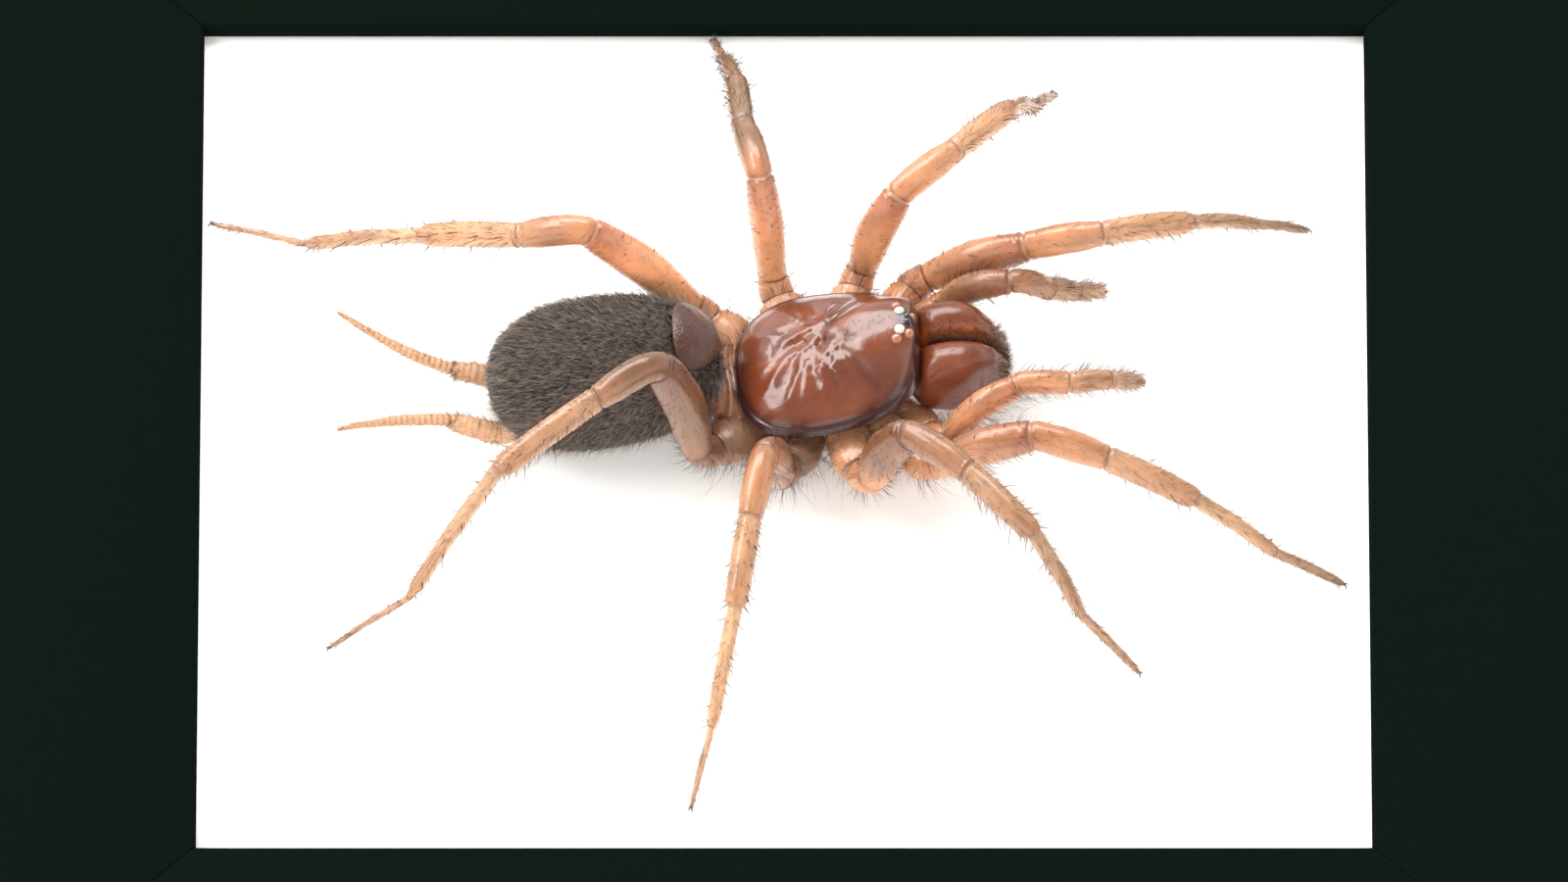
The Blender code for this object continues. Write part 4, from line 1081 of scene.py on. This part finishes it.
def build_carapace(settings):
    """The domed shield with its rolled rim, radial furrows and painted eye mound."""
    colours = settings.body
    under = ((0.25, 0.42), (0.5, 0.4), (0.72, 0.3), (0.88, 0.1), (0.94, -0.12), (0.97, -0.33), (0.985, -0.36),
             (1.0, -0.3), (1.006, -0.2), (1.008, -0.1))
    upper = np.concatenate((np.linspace(1.0, 0.9, 19), np.linspace(0.9, 0.03, 88)[1:]))
    sides = SHIELD_SIDES
    edge_x, edge_y = shield_outline(np.arange(sides) * TAU / sides)
    rings = [np.stack((edge_x * share, edge_y * share, np.full(sides, z)), axis=1) for share, z in under]
    for share in upper:
        x = edge_x * share
        y = edge_y * share
        rings.append(np.stack((x, y, shield_height(x, y, np.full(sides, share))), axis=1))
    rings = np.array(rings)
    shares = np.concatenate(([s for s, _ in under], upper))[:, None] * np.ones(sides)
    x, y = rings[..., 0].copy(), rings[..., 1]
    rings[..., 0] = face_lean(x, y, rings[..., 2])
    reach = np.hypot(x, y)
    turn = np.arctan2(y, x)
    warm = 0.45 + 0.5 * ripple(np.stack((turn * 2.2, reach * 0.5), axis=-1), 1.8, 31)
    warm *= 1.0 - 0.4 * smooth_step(2.0, 5.0, x)
    tone = mixed(colours.shield, colours.shield_warm, np.clip(warm, 0.0, 1.0))
    # The dark rolled rim is the shield's own colour; on the side facing the camera it is widened and deepened as
    # painted shade.
    near = smooth_step(-1.5, 2.5, -y)
    dark = 0.9 * smooth_step(0.95 - 0.03 * near, 0.985 - 0.02 * near, shares)
    dark += (0.25 + 0.35 * near) * smooth_step(0.84, 0.96, shares)
    # Painted shade in the furrows of the head.
    for rise, wide, line in SHIELD_RELIEF:
        if rise < 0.0:
            away, _ = near_line(x, y, line)
            dark += 1.5 * abs(rise) * bump(away, wide * 0.8) * (shares < 0.9) * (line[0][0] > 0.0)
    # Painted shade in the pit at the middle of the shield.
    dark += 0.55 * bump(x - 0.25, 0.35) * bump(y - 0.1, 0.3)
    dark += 0.6 * smooth_step(5.3, 6.3, x)
    tone = mixed(tone, colours.shield_dark, np.clip(dark, 0.0, 0.9))
    tone = mixed(tone, colours.jaw_groove, 0.3 * bump(np.hypot((x + 1.6) / 0.6, (y - 0.5) / 0.35), 1.0))
    mound = bump(np.hypot((x - 5.45) / 0.72, (y - 0.05) / 0.72), 1.0) ** 2
    tone = mixed(tone, colours.eye_black, np.clip(2.2 * mound - 0.1, 0.0, 0.97))
    placing = standing(HEAD_YAW, HEAD_PITCH, SHIELD_MARGIN_Z)
    item = ringed("carapace_shell", rings, tone, (0.0, 0.0, 0.42), None, placing)
    wear(item, cuticle("shield"), "carapace_shell", "carapace")
    lens_tones = {"pearl": daylight(246, 240, 232), "amber": daylight(190, 116, 76), "black": daylight(10, 10, 12)}
    lenses = []
    for name, px, py, half_across, half_along, kind in EYES:
        middle, normal = shield_point(px, py)
        forward = unit(np.array((1.0, 0.0, 0.0)) - normal * normal[0])
        left = np.cross(normal, forward)
        rows = []
        for step in np.linspace(0.0, math.pi, 14)[1:-1]:
            around = np.arange(24) * TAU / 24
            flat = math.sin(step)
            rows.append(middle + forward * (flat * half_along * np.cos(around))[:, None]
                        + left * (flat * half_across * np.sin(around))[:, None]
                        - normal * (math.cos(step) * 0.85 * half_along - 0.02))
        rows = np.array(rows)
        tones = np.broadcast_to(np.asarray(lens_tones[kind]), rows.shape)
        lenses.append(ringed("eye_" + name, rows, tones, placing=placing))
    eyes = joined(lenses, "eyes")
    wear(eyes, cuticle("lens"), "carapace_shell")
    rng = np.random.default_rng(71)
    tufts = Tufts()
    count = 620
    turn = rng.uniform(0.0, TAU, count)
    edge_x, edge_y = shield_outline(turn)
    share = rng.uniform(0.985, 1.0, count)
    roots = np.stack((edge_x * share, edge_y * share, rng.uniform(-0.3, 0.05, count)), axis=1)
    out = unit(np.stack((edge_x, edge_y, np.zeros(count)), axis=1))
    ways = out + np.stack((np.full(count, -0.2), np.zeros(count), rng.uniform(-0.2, 0.6, count)), axis=1)
    keep = (edge_x < 5.0)
    tufts.add(roots[keep], ways[keep], (-0.2, 0.0, 0.3), rng.uniform(0.3, 0.8, keep.sum()), 0.014,
              settings.coat.dark, settings.coat.tip, placing)
    count = 26
    px = rng.uniform(1.5, 4.6, count)
    py = rng.normal(0.1, 0.5, count)
    for a, b in zip(px, py):
        point, normal = shield_point(a, b)
        tufts.add(point[None], (normal + np.array((0.9, 0.0, 0.0)))[None], (0.2, 0.0, 0.2),
                  rng.uniform(0.35, 0.7), 0.014, settings.coat.dark, settings.coat.tip, placing)
    tufts.grow("carapace_bristles", "carapace_shell")


def jaw_section(x):
    """Half width, bottom and top of a jaw along its length."""
    table = np.array(JAW_STATIONS)
    steps = np.interp(x, table[:, 0], np.arange(len(table)))
    return [spline(steps, table[:, k]) for k in (1, 2, 3)]


def jaw_skin(x, turn, side, outwards=0.0):
    """A point of a jaw's skin; turn 90 degrees is its top."""
    half_width, bottom, top = jaw_section(x)
    half_depth = (top - bottom) / 2
    c = np.cos(turn)
    s = np.sin(turn)
    power = 2.0 / JAW_SQUARENESS
    y = half_width * np.sign(c) * np.abs(c) ** power
    z = half_depth * np.sign(s) * np.abs(s) ** power
    middle = side * (half_width + 0.04) + JAW_SHIFT
    points = np.stack((x, middle + y, (bottom + top) / 2 + z), axis=-1)
    normals = unit(np.stack((np.zeros_like(x), c / half_width, s / half_depth), axis=-1))
    return points + normals * outwards, normals


def build_jaws(settings):
    """Two stout jaws with folded fangs, a furrow between them and hair along their inner edges."""
    colours = settings.body
    placing = standing(HEAD_YAW)
    xs = np.concatenate((np.linspace(5.2, 6.0, 6), np.linspace(6.0, 11.4, 40)[1:], np.linspace(11.4, 12.3, 16)[1:]))
    for word, side in (("left", 1.0), ("right", -1.0)):
        x, turn = np.meshgrid(xs, np.arange(JAW_SIDES) * TAU / JAW_SIDES, indexing="ij")
        points, normals = jaw_skin(x, turn, side)
        points = points + normals * (0.02 * ripple(points, 1.4, 41))[..., None]
        inner = np.clip(-side * np.cos(turn), 0.0, 1.0)
        top = np.sin(turn)
        tone = mixed(colours.jaw, colours.jaw_dark, 0.55 * smooth_step(10.9, 12.1, x))
        tone = mixed(tone, colours.jaw_dark, 0.35 * smooth_step(0.75, 1.0, top) * smooth_step(7.0, 9.0, x))
        # Painted glow: the orange inner face of each jaw, brighter than its own colour as light shining through.
        glow = smooth_step(0.35, 0.75, inner) * smooth_step(-0.4, 0.1, top) * (1.0 - 0.7 * smooth_step(10.2, 11.8, x))
        tone = mixed(tone, colours.jaw_groove, 0.95 * glow)
        tone = tone * (1.0 + 0.14 * ripple(points * (0.6, 1.0, 1.0), 1.7, 43))[..., None]
        jaw = ringed("jaw_" + word + "_shell", points, tone, placing=placing)
        line = np.array([(fx, side * FANG_MIDDLE + JAW_SHIFT, fz) for fx, fz, _ in FANG_STATIONS])
        widths = [r for _, _, r in FANG_STATIONS]
        fang = tube("fang_" + word, line, widths, 16, colours.fang, placing, 30)
        jaw = joined([jaw, fang], "jaw_" + word)
        wear(jaw, cuticle("jaw"), "jaw_shell", "chelicera_" + word)
        rng = np.random.default_rng(81 if side > 0 else 82)
        tufts = Tufts()
        count = 230
        px = rng.uniform(6.8, 11.9, count)
        pt = math.pi / 2 + side * rng.normal(0.75, 0.16, count)
        roots, normals = jaw_skin(px, pt, side)
        ways = normals * 0.5 + np.stack((rng.uniform(-0.1, 0.4, count), -side * rng.uniform(0.5, 1.1, count),
                                         rng.uniform(0.3, 0.8, count)), axis=1)
        tufts.add(roots, ways, np.stack((np.full(count, 0.15), np.full(count, -side * 0.6), np.full(count, -0.3)),
                                        axis=1),
                  rng.uniform(0.5, 1.0, count), 0.015, settings.coat.spine, settings.coat.dark, placing)
        count = 420
        px = 12.3 - np.abs(rng.normal(0.0, 0.6, count))
        pt = rng.uniform(-0.5, math.pi + 0.5, count)
        roots, normals = jaw_skin(px, pt, side)
        ways = normals * 0.9 + np.array((0.8, 0.0, 0.1)) + rng.normal(0.0, 0.3, (count, 3))
        tufts.add(roots, ways, (0.2, 0.0, -0.3), rng.uniform(0.35, 0.85, count), 0.013,
                  settings.coat.dark, settings.coat.tip, placing)
        count = 260
        px = rng.uniform(6.6, 12.0, count)
        pt = rng.uniform(0.0, TAU, count)
        roots, normals = jaw_skin(px, pt, side)
        ways = normals * 0.5 + np.array((1.0, 0.0, 0.0)) + rng.normal(0.0, 0.15, (count, 3))
        tufts.add(roots, ways, (0.3, 0.0, 0.0), rng.uniform(0.25, 0.6, count), 0.01,
                  settings.coat.dark, settings.coat.tip, placing)
        tufts.grow("jaw_" + word + "_bristles", "jaw_shell")


def abdomen_skin(along, turn, outwards=0.0):
    """Points and normals of the abdomen's skin; along runs from -1 at the rear to 1 at the front."""
    fullness = np.maximum(1.0 - np.abs(along) ** ABDOMEN_BLUNTNESS, 0.0) ** (1.0 / ABDOMEN_BLUNTNESS)
    radius = ABDOMEN_RADIUS * fullness * (1.0 - 0.05 * along)
    steep = ABDOMEN_BLUNTNESS - 1.0
    normals = unit(np.stack((np.sign(along) * np.abs(along) ** steep / ABDOMEN_HALF_LENGTH,
                             np.cos(turn) * fullness ** steep / ABDOMEN_RADIUS,
                             np.sin(turn) * fullness ** steep / ABDOMEN_RADIUS), axis=-1))
    points = np.stack((ABDOMEN_HALF_LENGTH * along, radius * np.cos(turn), radius * np.sin(turn)), axis=-1)
    return points + normals * outwards, normals


def build_abdomen(settings):
    """The round abdomen under dense felt, its front plate and the waist."""
    colours = settings.body
    coat = settings.coat
    placing = abdomen_placing()
    steps = np.linspace(0.0, math.pi, 76)[1:-1]
    along, turn = np.meshgrid(-np.cos(steps), np.arange(72) * TAU / 72, indexing="ij")
    points, normals = abdomen_skin(along, turn)
    points = points + normals * (0.05 * ripple(points, 2.2, 51) - 0.03)[..., None]
    shade = 1.0 + 0.2 * ripple(points, 1.6, 52)
    tone = np.asarray(colours.velvet) * shade[..., None]
    item = ringed("abdomen_body", points, tone, placing=placing)
    wear(item, cuticle("velvet"), "abdomen_velvet", "abdomen")
    rng = np.random.default_rng(91)
    count = coat.felt_count
    along = rng.uniform(-1.0, 1.0, count)
    along = np.sign(along) * (1.0 - (1.0 - np.abs(along)) ** 1.15)
    turn = rng.uniform(0.0, TAU, count)
    bare = (along > 0.68) & (np.abs(turn - math.pi / 2) < math.radians(36.0))
    along, turn = along[~bare], turn[~bare]
    count = len(along)
    roots, normals = abdomen_skin(along, turn, -0.02)
    back = np.array((-1.0, 0.0, 0.0))
    ahead = unit(back - normals * (normals @ back)[:, None] + 1e-6)
    ways = leaning(ahead, normals, rng.normal(34.0, 10.0, count), rng, 0.55)
    bends = ahead * 0.5 - normals * 0.45 + rng.normal(0.0, 0.35, (count, 3))
    pick = rng.uniform(0.0, 1.0, count) ** 1.6
    near = mixed(coat.felt_dark, coat.felt_pale, pick * 0.3)
    far = mixed(coat.felt_dark, coat.felt_pale, 0.25 + pick * 0.75)
    tufts = Tufts()
    tufts.add(roots, ways, bends, rng.uniform(0.65, 1.15, count), 0.03 * rng.uniform(0.75, 1.2, count), near, far,
              placing)
    tufts.grow("abdomen_felt", "abdomen_velvet")
    count = 4200
    along = rng.uniform(-0.99, 0.97, count)
    turn = rng.uniform(0.0, TAU, count)
    bare = (along > 0.6) & (np.abs(turn - math.pi / 2) < math.radians(45.0))
    along, turn = along[~bare], turn[~bare]
    count = len(along)
    roots, normals = abdomen_skin(along, turn, -0.02)
    ahead = unit(back - normals * (normals @ back)[:, None] + 1e-6)
    ways = leaning(ahead, normals, rng.normal(58.0, 12.0, count), rng, 0.5)
    tufts = Tufts()
    tufts.add(roots, ways, ahead * 0.4, rng.uniform(0.9, 1.6, count), 0.014, coat.felt_pale, coat.fringe, placing)
    tufts.grow("abdomen_long_hair", "abdomen_velvet")
    build_plate(settings, placing)
    build_waist(settings)


def build_plate(settings, placing):
    """The hard plate over the abdomen's upper front end."""
    middle = (PLATE_FRONT + PLATE_BACK) / 2
    half = (PLATE_FRONT - PLATE_BACK) / 2
    around = np.arange(80) * TAU / 80
    rows = []
    for step in np.linspace(0.0, math.pi, 44)[1:-1]:
        spread = math.sin(step) ** 0.75
        c = np.cos(around)
        s = np.sin(around)
        square = (np.abs(c) ** 2.6 + np.abs(s) ** 2.6) ** (-1.0 / 2.6)
        along = middle + half * c * square * spread
        turn = math.pi / 2 - np.radians(PLATE_SPREAD) * s * square * spread
        lift = 0.42 + 0.28 * math.copysign(abs(math.cos(step)) ** 0.5, -math.cos(step))
        points, normals = abdomen_skin(along, turn, lift)
        if step > math.pi / 2:
            points = points + normals * (0.03 * ripple(points, 0.9, 61))[..., None]
        rows.append(points)
    rows = np.array(rows)
    tone = np.asarray(settings.body.plate) * (1.0 + 0.2 * ripple(rows, 1.4, 62))[..., None]
    item = ringed("plate_shell", rows, tone, placing=placing)
    wear(item, plate_finish(), "plate_shell", "dorsal_plate")


def build_waist(settings):
    """The short hairy stretch between the chest and the abdomen."""
    placing = standing(LEGS_YAW)
    stations = np.array(WAIST_STATIONS)
    at = np.linspace(0.0, 5.0, 60)
    x, z, wide, deep = (spline(at, stations[:, k])[:, None] for k in range(4))
    turn = np.arange(48) * TAU / 48
    folds = 1.0 + 0.05 * np.sin(x * TAU / 0.7 + 1.5 * np.sin(turn * 3.0))
    rings = np.stack((x + 0.0 * turn, wide * folds * np.sin(turn), z - deep * folds * np.cos(turn)), axis=-1)
    # Random tone, darkened in the creases between the folds as painted shade.
    shade = 1.0 + 0.14 * ripple(rings, 1.1, 94) - 0.16 * (folds < 0.98)
    tone = np.asarray(settings.body.waist) * shade[..., None]
    item = ringed("waist_skin", rings, tone, placing=placing)
    wear(item, cuticle("limb"), "abdomen_velvet", "abdomen")
    rng = np.random.default_rng(95)
    count = 700
    at = rng.uniform(0.6, 4.9, count)
    turn = rng.uniform(0.0, TAU, count)
    x, z, wide, deep = (spline(at, stations[:, k]) for k in range(4))
    roots = np.stack((x, wide * np.sin(turn), z - deep * np.cos(turn)), axis=1)
    out = unit(np.stack((np.zeros(count), np.sin(turn) / wide, -np.cos(turn) / deep), axis=1))
    tufts = Tufts()
    tufts.add(roots, out + np.array((-0.4, 0.0, 0.0)) + rng.normal(0, 0.3, (count, 3)), (-0.3, 0.0, 0.0),
              rng.uniform(0.5, 1.4, count), 0.015, settings.coat.spine, settings.coat.dark, placing)
    tufts.grow("waist_bristles", "abdomen_velvet")


def build_spinneret(word, settings):
    """One long, ringed spinneret with fine hair."""
    placing = standing(LEGS_YAW)
    stations = np.array(SPINNERETS[word])
    at = np.linspace(0.0, 7.0, 190)
    line = np.stack([spline(at, stations[:, axis]) for axis in range(3)], axis=1)
    reach = run_length(line)
    radii = np.interp(at, np.arange(8), stations[:, 3])
    ringing = np.sin(reach * TAU / 0.42)
    outer = smooth_step(3.6, 4.4, at)
    joints = bump(at - 3.9, 0.12) + 0.6 * bump(at - 5.6, 0.06) + 0.5 * bump(at - 2.0, 0.1)
    radii = radii * (1.0 + 0.1 * ringing * outer + 0.02 * ringing * (1.0 - outer) - 0.14 * joints)
    ahead = unit(np.gradient(line, axis=0))
    across = unit(np.stack((-ahead[:, 1], ahead[:, 0], np.zeros(len(ahead))), axis=1))
    up = np.cross(ahead, across)
    rings = line[:, None] + circles(across, up, 20) * radii[:, None, None]
    gap = np.clip(-ringing * outer * 0.8 + 0.8 * joints, 0.0, 1.0)
    tone = mixed(settings.body.spinneret, settings.body.spinneret_dark, gap * 0.75 + 0.15 * (1.0 - outer))
    tone = np.broadcast_to(tone[:, None], rings.shape).copy()
    item = ringed("spinneret_" + word + "_skin", rings, tone, placing=placing)
    wear(item, cuticle("spinneret"), "spinneret_skin", "spinneret_" + word)
    rng = np.random.default_rng(97 if word == "left" else 98)
    count = 900
    pick = rng.uniform(1.0, 6.95, count)
    index = np.clip((pick / 7.0 * 189).astype(int), 0, 189)
    turn = rng.uniform(0.0, TAU, count)
    out = across[index] * np.cos(turn)[:, None] + up[index] * np.sin(turn)[:, None]
    roots = line[index] + out * radii[index][:, None]
    ways = leaning(ahead[index], out, 45.0, rng)
    tufts = Tufts()
    tufts.add(roots, ways, ahead[index] * 0.3, rng.uniform(0.25, 0.65, count), 0.012, settings.coat.dark,
              settings.coat.tip, placing)
    tufts.grow("spinneret_" + word + "_hair", "spinneret_skin")


def build_rail(side, finish):
    """A rail like the solid one, with its mitres closed to a hairline and its edges eased."""
    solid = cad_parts["frame_rail_" + side]
    bpy.ops.object.select_all(action="DESELECT")
    rail = solid.copy()
    rail.data = solid.data.copy()
    rail.name = "rail_" + side
    bpy.context.scene.collection.objects.link(rail)
    rail.hide_render = False
    rail.select_set(True)
    bpy.context.view_layer.objects.active = rail
    bpy.ops.object.transform_apply(location=True, rotation=True, scale=True)
    bpy.ops.object.mode_set(mode="EDIT")
    bpy.ops.mesh.select_all(action="SELECT")
    bpy.ops.mesh.remove_doubles(threshold=1e-6)
    bpy.ops.mesh.tris_convert_to_quads(face_threshold=0.01, shape_threshold=3.2)
    bpy.ops.mesh.dissolve_limited(angle_limit=0.01)
    bpy.ops.object.mode_set(mode="OBJECT")
    axis = 0 if side in ("back", "front") else 1
    for vertex in rail.data.vertices:
        vertex.co[axis] += math.copysign(MITRE_GROWTH * MM, vertex.co[axis])
    bevel = rail.modifiers.new("eased edges", "BEVEL")
    bevel.width = RAIL_EASE * MM
    bevel.segments = 2
    bevel.limit_method = "ANGLE"
    bpy.ops.object.modifier_apply(modifier=bevel.name)
    bpy.ops.object.shade_smooth_by_angle(angle=math.radians(30.0))
    wear(rail, finish, "frame_paint", "frame_rail_" + side)


# Studio

def soft_light(name, location, degrees, size, power, glossy=True):
    """A rectangular light that the camera doesn't see."""
    bpy.ops.object.light_add(type="AREA", location=location, rotation=[math.radians(turn) for turn in degrees])
    made = bpy.context.object
    made.name = name
    made.data.shape = "RECTANGLE"
    made.data.size, made.data.size_y = size
    made.data.energy = power
    made.data.color = LAMP_WHITE
    made.visible_camera = False
    made.visible_glossy = glossy


def room_light(scene, strength):
    """Even light all round, brighter towards the horizon."""
    world = bpy.data.worlds.new("Studio light")
    scene.world = world
    world.use_nodes = True
    background = world.node_tree.nodes["Background"]
    background.inputs["Color"].default_value = ROOM_WHITE
    place = node(world.node_tree, "ShaderNodeTexCoord")
    split = node(world.node_tree, "ShaderNodeSeparateXYZ")
    fade = node(world.node_tree, "ShaderNodeMapRange", interpolation_type="SMOOTHSTEP")
    fade.inputs["From Min"].default_value, fade.inputs["From Max"].default_value = ROOM_LOW_BAND
    fade.inputs["To Min"].default_value = strength * ROOM_LOW_GAIN
    fade.inputs["To Max"].default_value = strength
    world.node_tree.links.new(place.outputs["Generated"], split.inputs[0])
    world.node_tree.links.new(split.outputs["Z"], fade.inputs["Value"])
    world.node_tree.links.new(fade.outputs[0], background.inputs["Strength"])


def stand_camera(scene):
    """The camera at the photo's rise and scale, in front of the near rail."""
    rise = math.radians(CAMERA_RISE)
    away = CAMERA_AWAY * np.array((0.0, -math.cos(rise), math.sin(rise)))
    bpy.ops.object.camera_add(location=np.array(CAMERA_AIM) + away, rotation=(math.radians(90.0) - rise, 0.0, 0.0))
    camera = bpy.context.object
    camera.name = "camera"
    camera.data.sensor_width = SENSOR_WIDTH
    camera.data.lens = SENSOR_WIDTH * CAMERA_AWAY / (PICTURE_WIDTH / PIXELS_PER_MM * MM)
    camera.data.clip_start = 0.1
    camera.data.clip_end = 50.0
    scene.camera = camera


# Operators

class SPECIMEN_OT_frame(bpy.types.Operator):
    """Paint the four rails and finish the white board"""
    bl_idname = "specimen.frame"
    bl_label = "Frame and board"

    def execute(self, context):
        stage = context.scene.specimen.stage
        paint_finish = plain_finish("Flat frame paint", stage.frame_paint, 0.7, 0.01, 900.0, 0.05, 0.01)
        card = plain_finish("White card", stage.board, 0.85, 0.1, 1500.0, 0.006, 0.01)
        for side in ("back", "front", "left", "right"):
            build_rail(side, paint_finish)
        dress(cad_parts["backing_board"], card)
        return {"FINISHED"}


class SPECIMEN_OT_carapace(bpy.types.Operator):
    """Build the shield, its eyes and its rim bristles"""
    bl_idname = "specimen.carapace"
    bl_label = "Carapace and eyes"

    def execute(self, context):
        build_carapace(context.scene.specimen)
        return {"FINISHED"}


class SPECIMEN_OT_jaws(bpy.types.Operator):
    """Build both jaws with their fangs and hair"""
    bl_idname = "specimen.jaws"
    bl_label = "Jaws"

    def execute(self, context):
        build_jaws(context.scene.specimen)
        return {"FINISHED"}


class SPECIMEN_OT_abdomen(bpy.types.Operator):
    """Build the abdomen, its felt, its plate and the waist"""
    bl_idname = "specimen.abdomen"
    bl_label = "Abdomen"

    def execute(self, context):
        build_abdomen(context.scene.specimen)
        return {"FINISHED"}


class SPECIMEN_OT_legs(bpy.types.Operator):
    """Build eight legs with bristles, spines and claws"""
    bl_idname = "specimen.legs"
    bl_label = "Legs"

    def execute(self, context):
        settings = context.scene.specimen
        for index, (number, word) in enumerate(LEG_POSES):
            limb = Limb(leg_joints(number, word), LEG_SHAPE, LEG_BOWS, COXA_WIDTH[number], FINE_TARSUS[number])
            name = f"leg_{number}_{word}"
            skin = limb_piece(name + "_skin", limb, LEG_NAMES, settings, 100 + index, LEG_TONE_AND_PAINTED_LIGHT[(number, word)])
            skin = joined([skin] + claws(limb, name, settings), name + "_skin")
            wear(skin, cuticle("limb"), "limb_shell", name)
            rng = np.random.default_rng(200 + index)
            tufts = Tufts()
            limb_coat(tufts, limb, LEG_HAIR, settings.coat.leg_density, settings.coat, rng)
            limb_spines(tufts, limb, spine_places(number), settings.coat, rng)
            tufts.grow(name + "_bristles", "limb_shell")
        return {"FINISHED"}


class SPECIMEN_OT_palps(bpy.types.Operator):
    """Build both palps with their furry ends"""
    bl_idname = "specimen.palps"
    bl_label = "Palps"

    def execute(self, context):
        settings = context.scene.specimen
        for index, (word, (turns, rises)) in enumerate(PALP_POSES.items()):
            side = 1.0 if word == "left" else -1.0
            root = np.array((PALP_ROOT[0], side * PALP_ROOT[1], PALP_ROOT[2]))
            hip = np.array((PALP_HIP[0], side * PALP_HIP[1], PALP_HIP[2]))
            joints = limb_joints(side, root, hip, PALP_LENGTHS, turns, rises)
            limb = Limb(joints, PALP_SHAPE, PALP_BOWS)
            name = "palp_" + word
            skin = limb_piece(name + "_skin", limb, PALP_NAMES, settings, 150 + index, PALP_TONE_AND_PAINTED_LIGHT[word])
            wear(skin, cuticle("limb"), "limb_shell", name)
            rng = np.random.default_rng(250 + index)
            tufts = Tufts()
            limb_coat(tufts, limb, PALP_HAIR, settings.coat.leg_density, settings.coat, rng)
            tufts.grow(name + "_bristles", "limb_shell")
        return {"FINISHED"}


class SPECIMEN_OT_spinnerets(bpy.types.Operator):
    """Build both long spinnerets"""
    bl_idname = "specimen.spinnerets"
    bl_label = "Spinnerets"

    def execute(self, context):
        for word in SPINNERETS:
            build_spinneret(word, context.scene.specimen)
        return {"FINISHED"}


class SPECIMEN_OT_sternum(bpy.types.Operator):
    """Finish the plate between the leg bases"""
    bl_idname = "specimen.sternum"
    bl_label = "Sternum"

    def execute(self, context):
        tone = context.scene.specimen.body.sternum
        dress(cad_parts["sternum"], plain_finish("Sternum cuticle", tone, 0.4, 0.5, 2500.0, 0.2, 0.03))
        return {"FINISHED"}


class SPECIMEN_OT_stage(bpy.types.Operator):
    """Set the floor, the studio light and the camera"""
    bl_idname = "specimen.stage"
    bl_label = "Studio"

    def execute(self, context):
        stage = context.scene.specimen.stage
        bpy.ops.object.select_all(action="DESELECT")
        bpy.ops.mesh.primitive_plane_add(size=8.0, location=(0.0, 0.0, 0.0))
        floor = context.object
        floor.name = "floor"
        floor.data.materials.append(plain_finish("Pale floor", stage.floor, 0.9, 0.1, 60.0, 0.01, 0.02))
        soft_light("softbox", (-0.1, 0.27, stage.key_height), (-32.0, -12.0, 0.0),
                   (stage.key_width, stage.key_width * 0.5), stage.key_power)
        soft_light("side_softbox", (-0.4, 0.03, stage.key_height), (-4.0, -43.0, 0.0),
                   (stage.key_width * 0.4, stage.key_width * 0.6), stage.side_power)
        soft_light("front_fill", (0.08, -0.55, 0.38), (56.0, 0.0, 8.0), (1.2, 0.7), stage.fill_power, False)
        room_light(context.scene, stage.room)
        stand_camera(context.scene)
        context.scene.view_settings.view_transform = "Standard"
        return {"FINISHED"}


class SPECIMEN_PT_panel(bpy.types.Panel):
    bl_label = "Specimen"
    bl_idname = "SPECIMEN_PT_panel"
    bl_space_type = "VIEW_3D"
    bl_region_type = "UI"
    bl_category = "Specimen"

    def draw(self, context):
        for operator in OPERATORS:
            self.layout.operator(operator.bl_idname)
        settings = context.scene.specimen
        for group in (settings.limbs, settings.body, settings.coat, settings.stage):
            box = self.layout.box()
            for name in group.bl_rna.properties.keys():
                if name not in ("rna_type", "name"):
                    box.prop(group, name)


GROUPS = (SpecimenLimbColours, SpecimenBodyColours, SpecimenCoat, SpecimenStage, SpecimenSettings)
OPERATORS = (SPECIMEN_OT_frame, SPECIMEN_OT_carapace, SPECIMEN_OT_jaws, SPECIMEN_OT_abdomen, SPECIMEN_OT_legs,
             SPECIMEN_OT_palps, SPECIMEN_OT_spinnerets, SPECIMEN_OT_sternum, SPECIMEN_OT_stage)


def register():
    for group in GROUPS + OPERATORS + (SPECIMEN_PT_panel,):
        bpy.utils.register_class(group)
    bpy.types.Scene.specimen = bpy.props.PointerProperty(type=SpecimenSettings, name="Specimen",
                                                         description="Settings of the specimen")


def unregister():
    del bpy.types.Scene.specimen
    for group in reversed(GROUPS + OPERATORS + (SPECIMEN_PT_panel,)):
        bpy.utils.unregister_class(group)


def main():
    """Build every piece in order."""
    register()
    bpy.ops.specimen.frame()
    bpy.ops.specimen.carapace()
    bpy.ops.specimen.jaws()
    bpy.ops.specimen.abdomen()
    bpy.ops.specimen.legs()
    bpy.ops.specimen.palps()
    bpy.ops.specimen.spinnerets()
    bpy.ops.specimen.sternum()
    bpy.ops.specimen.stage()


if __name__ == "__main__":
    main()
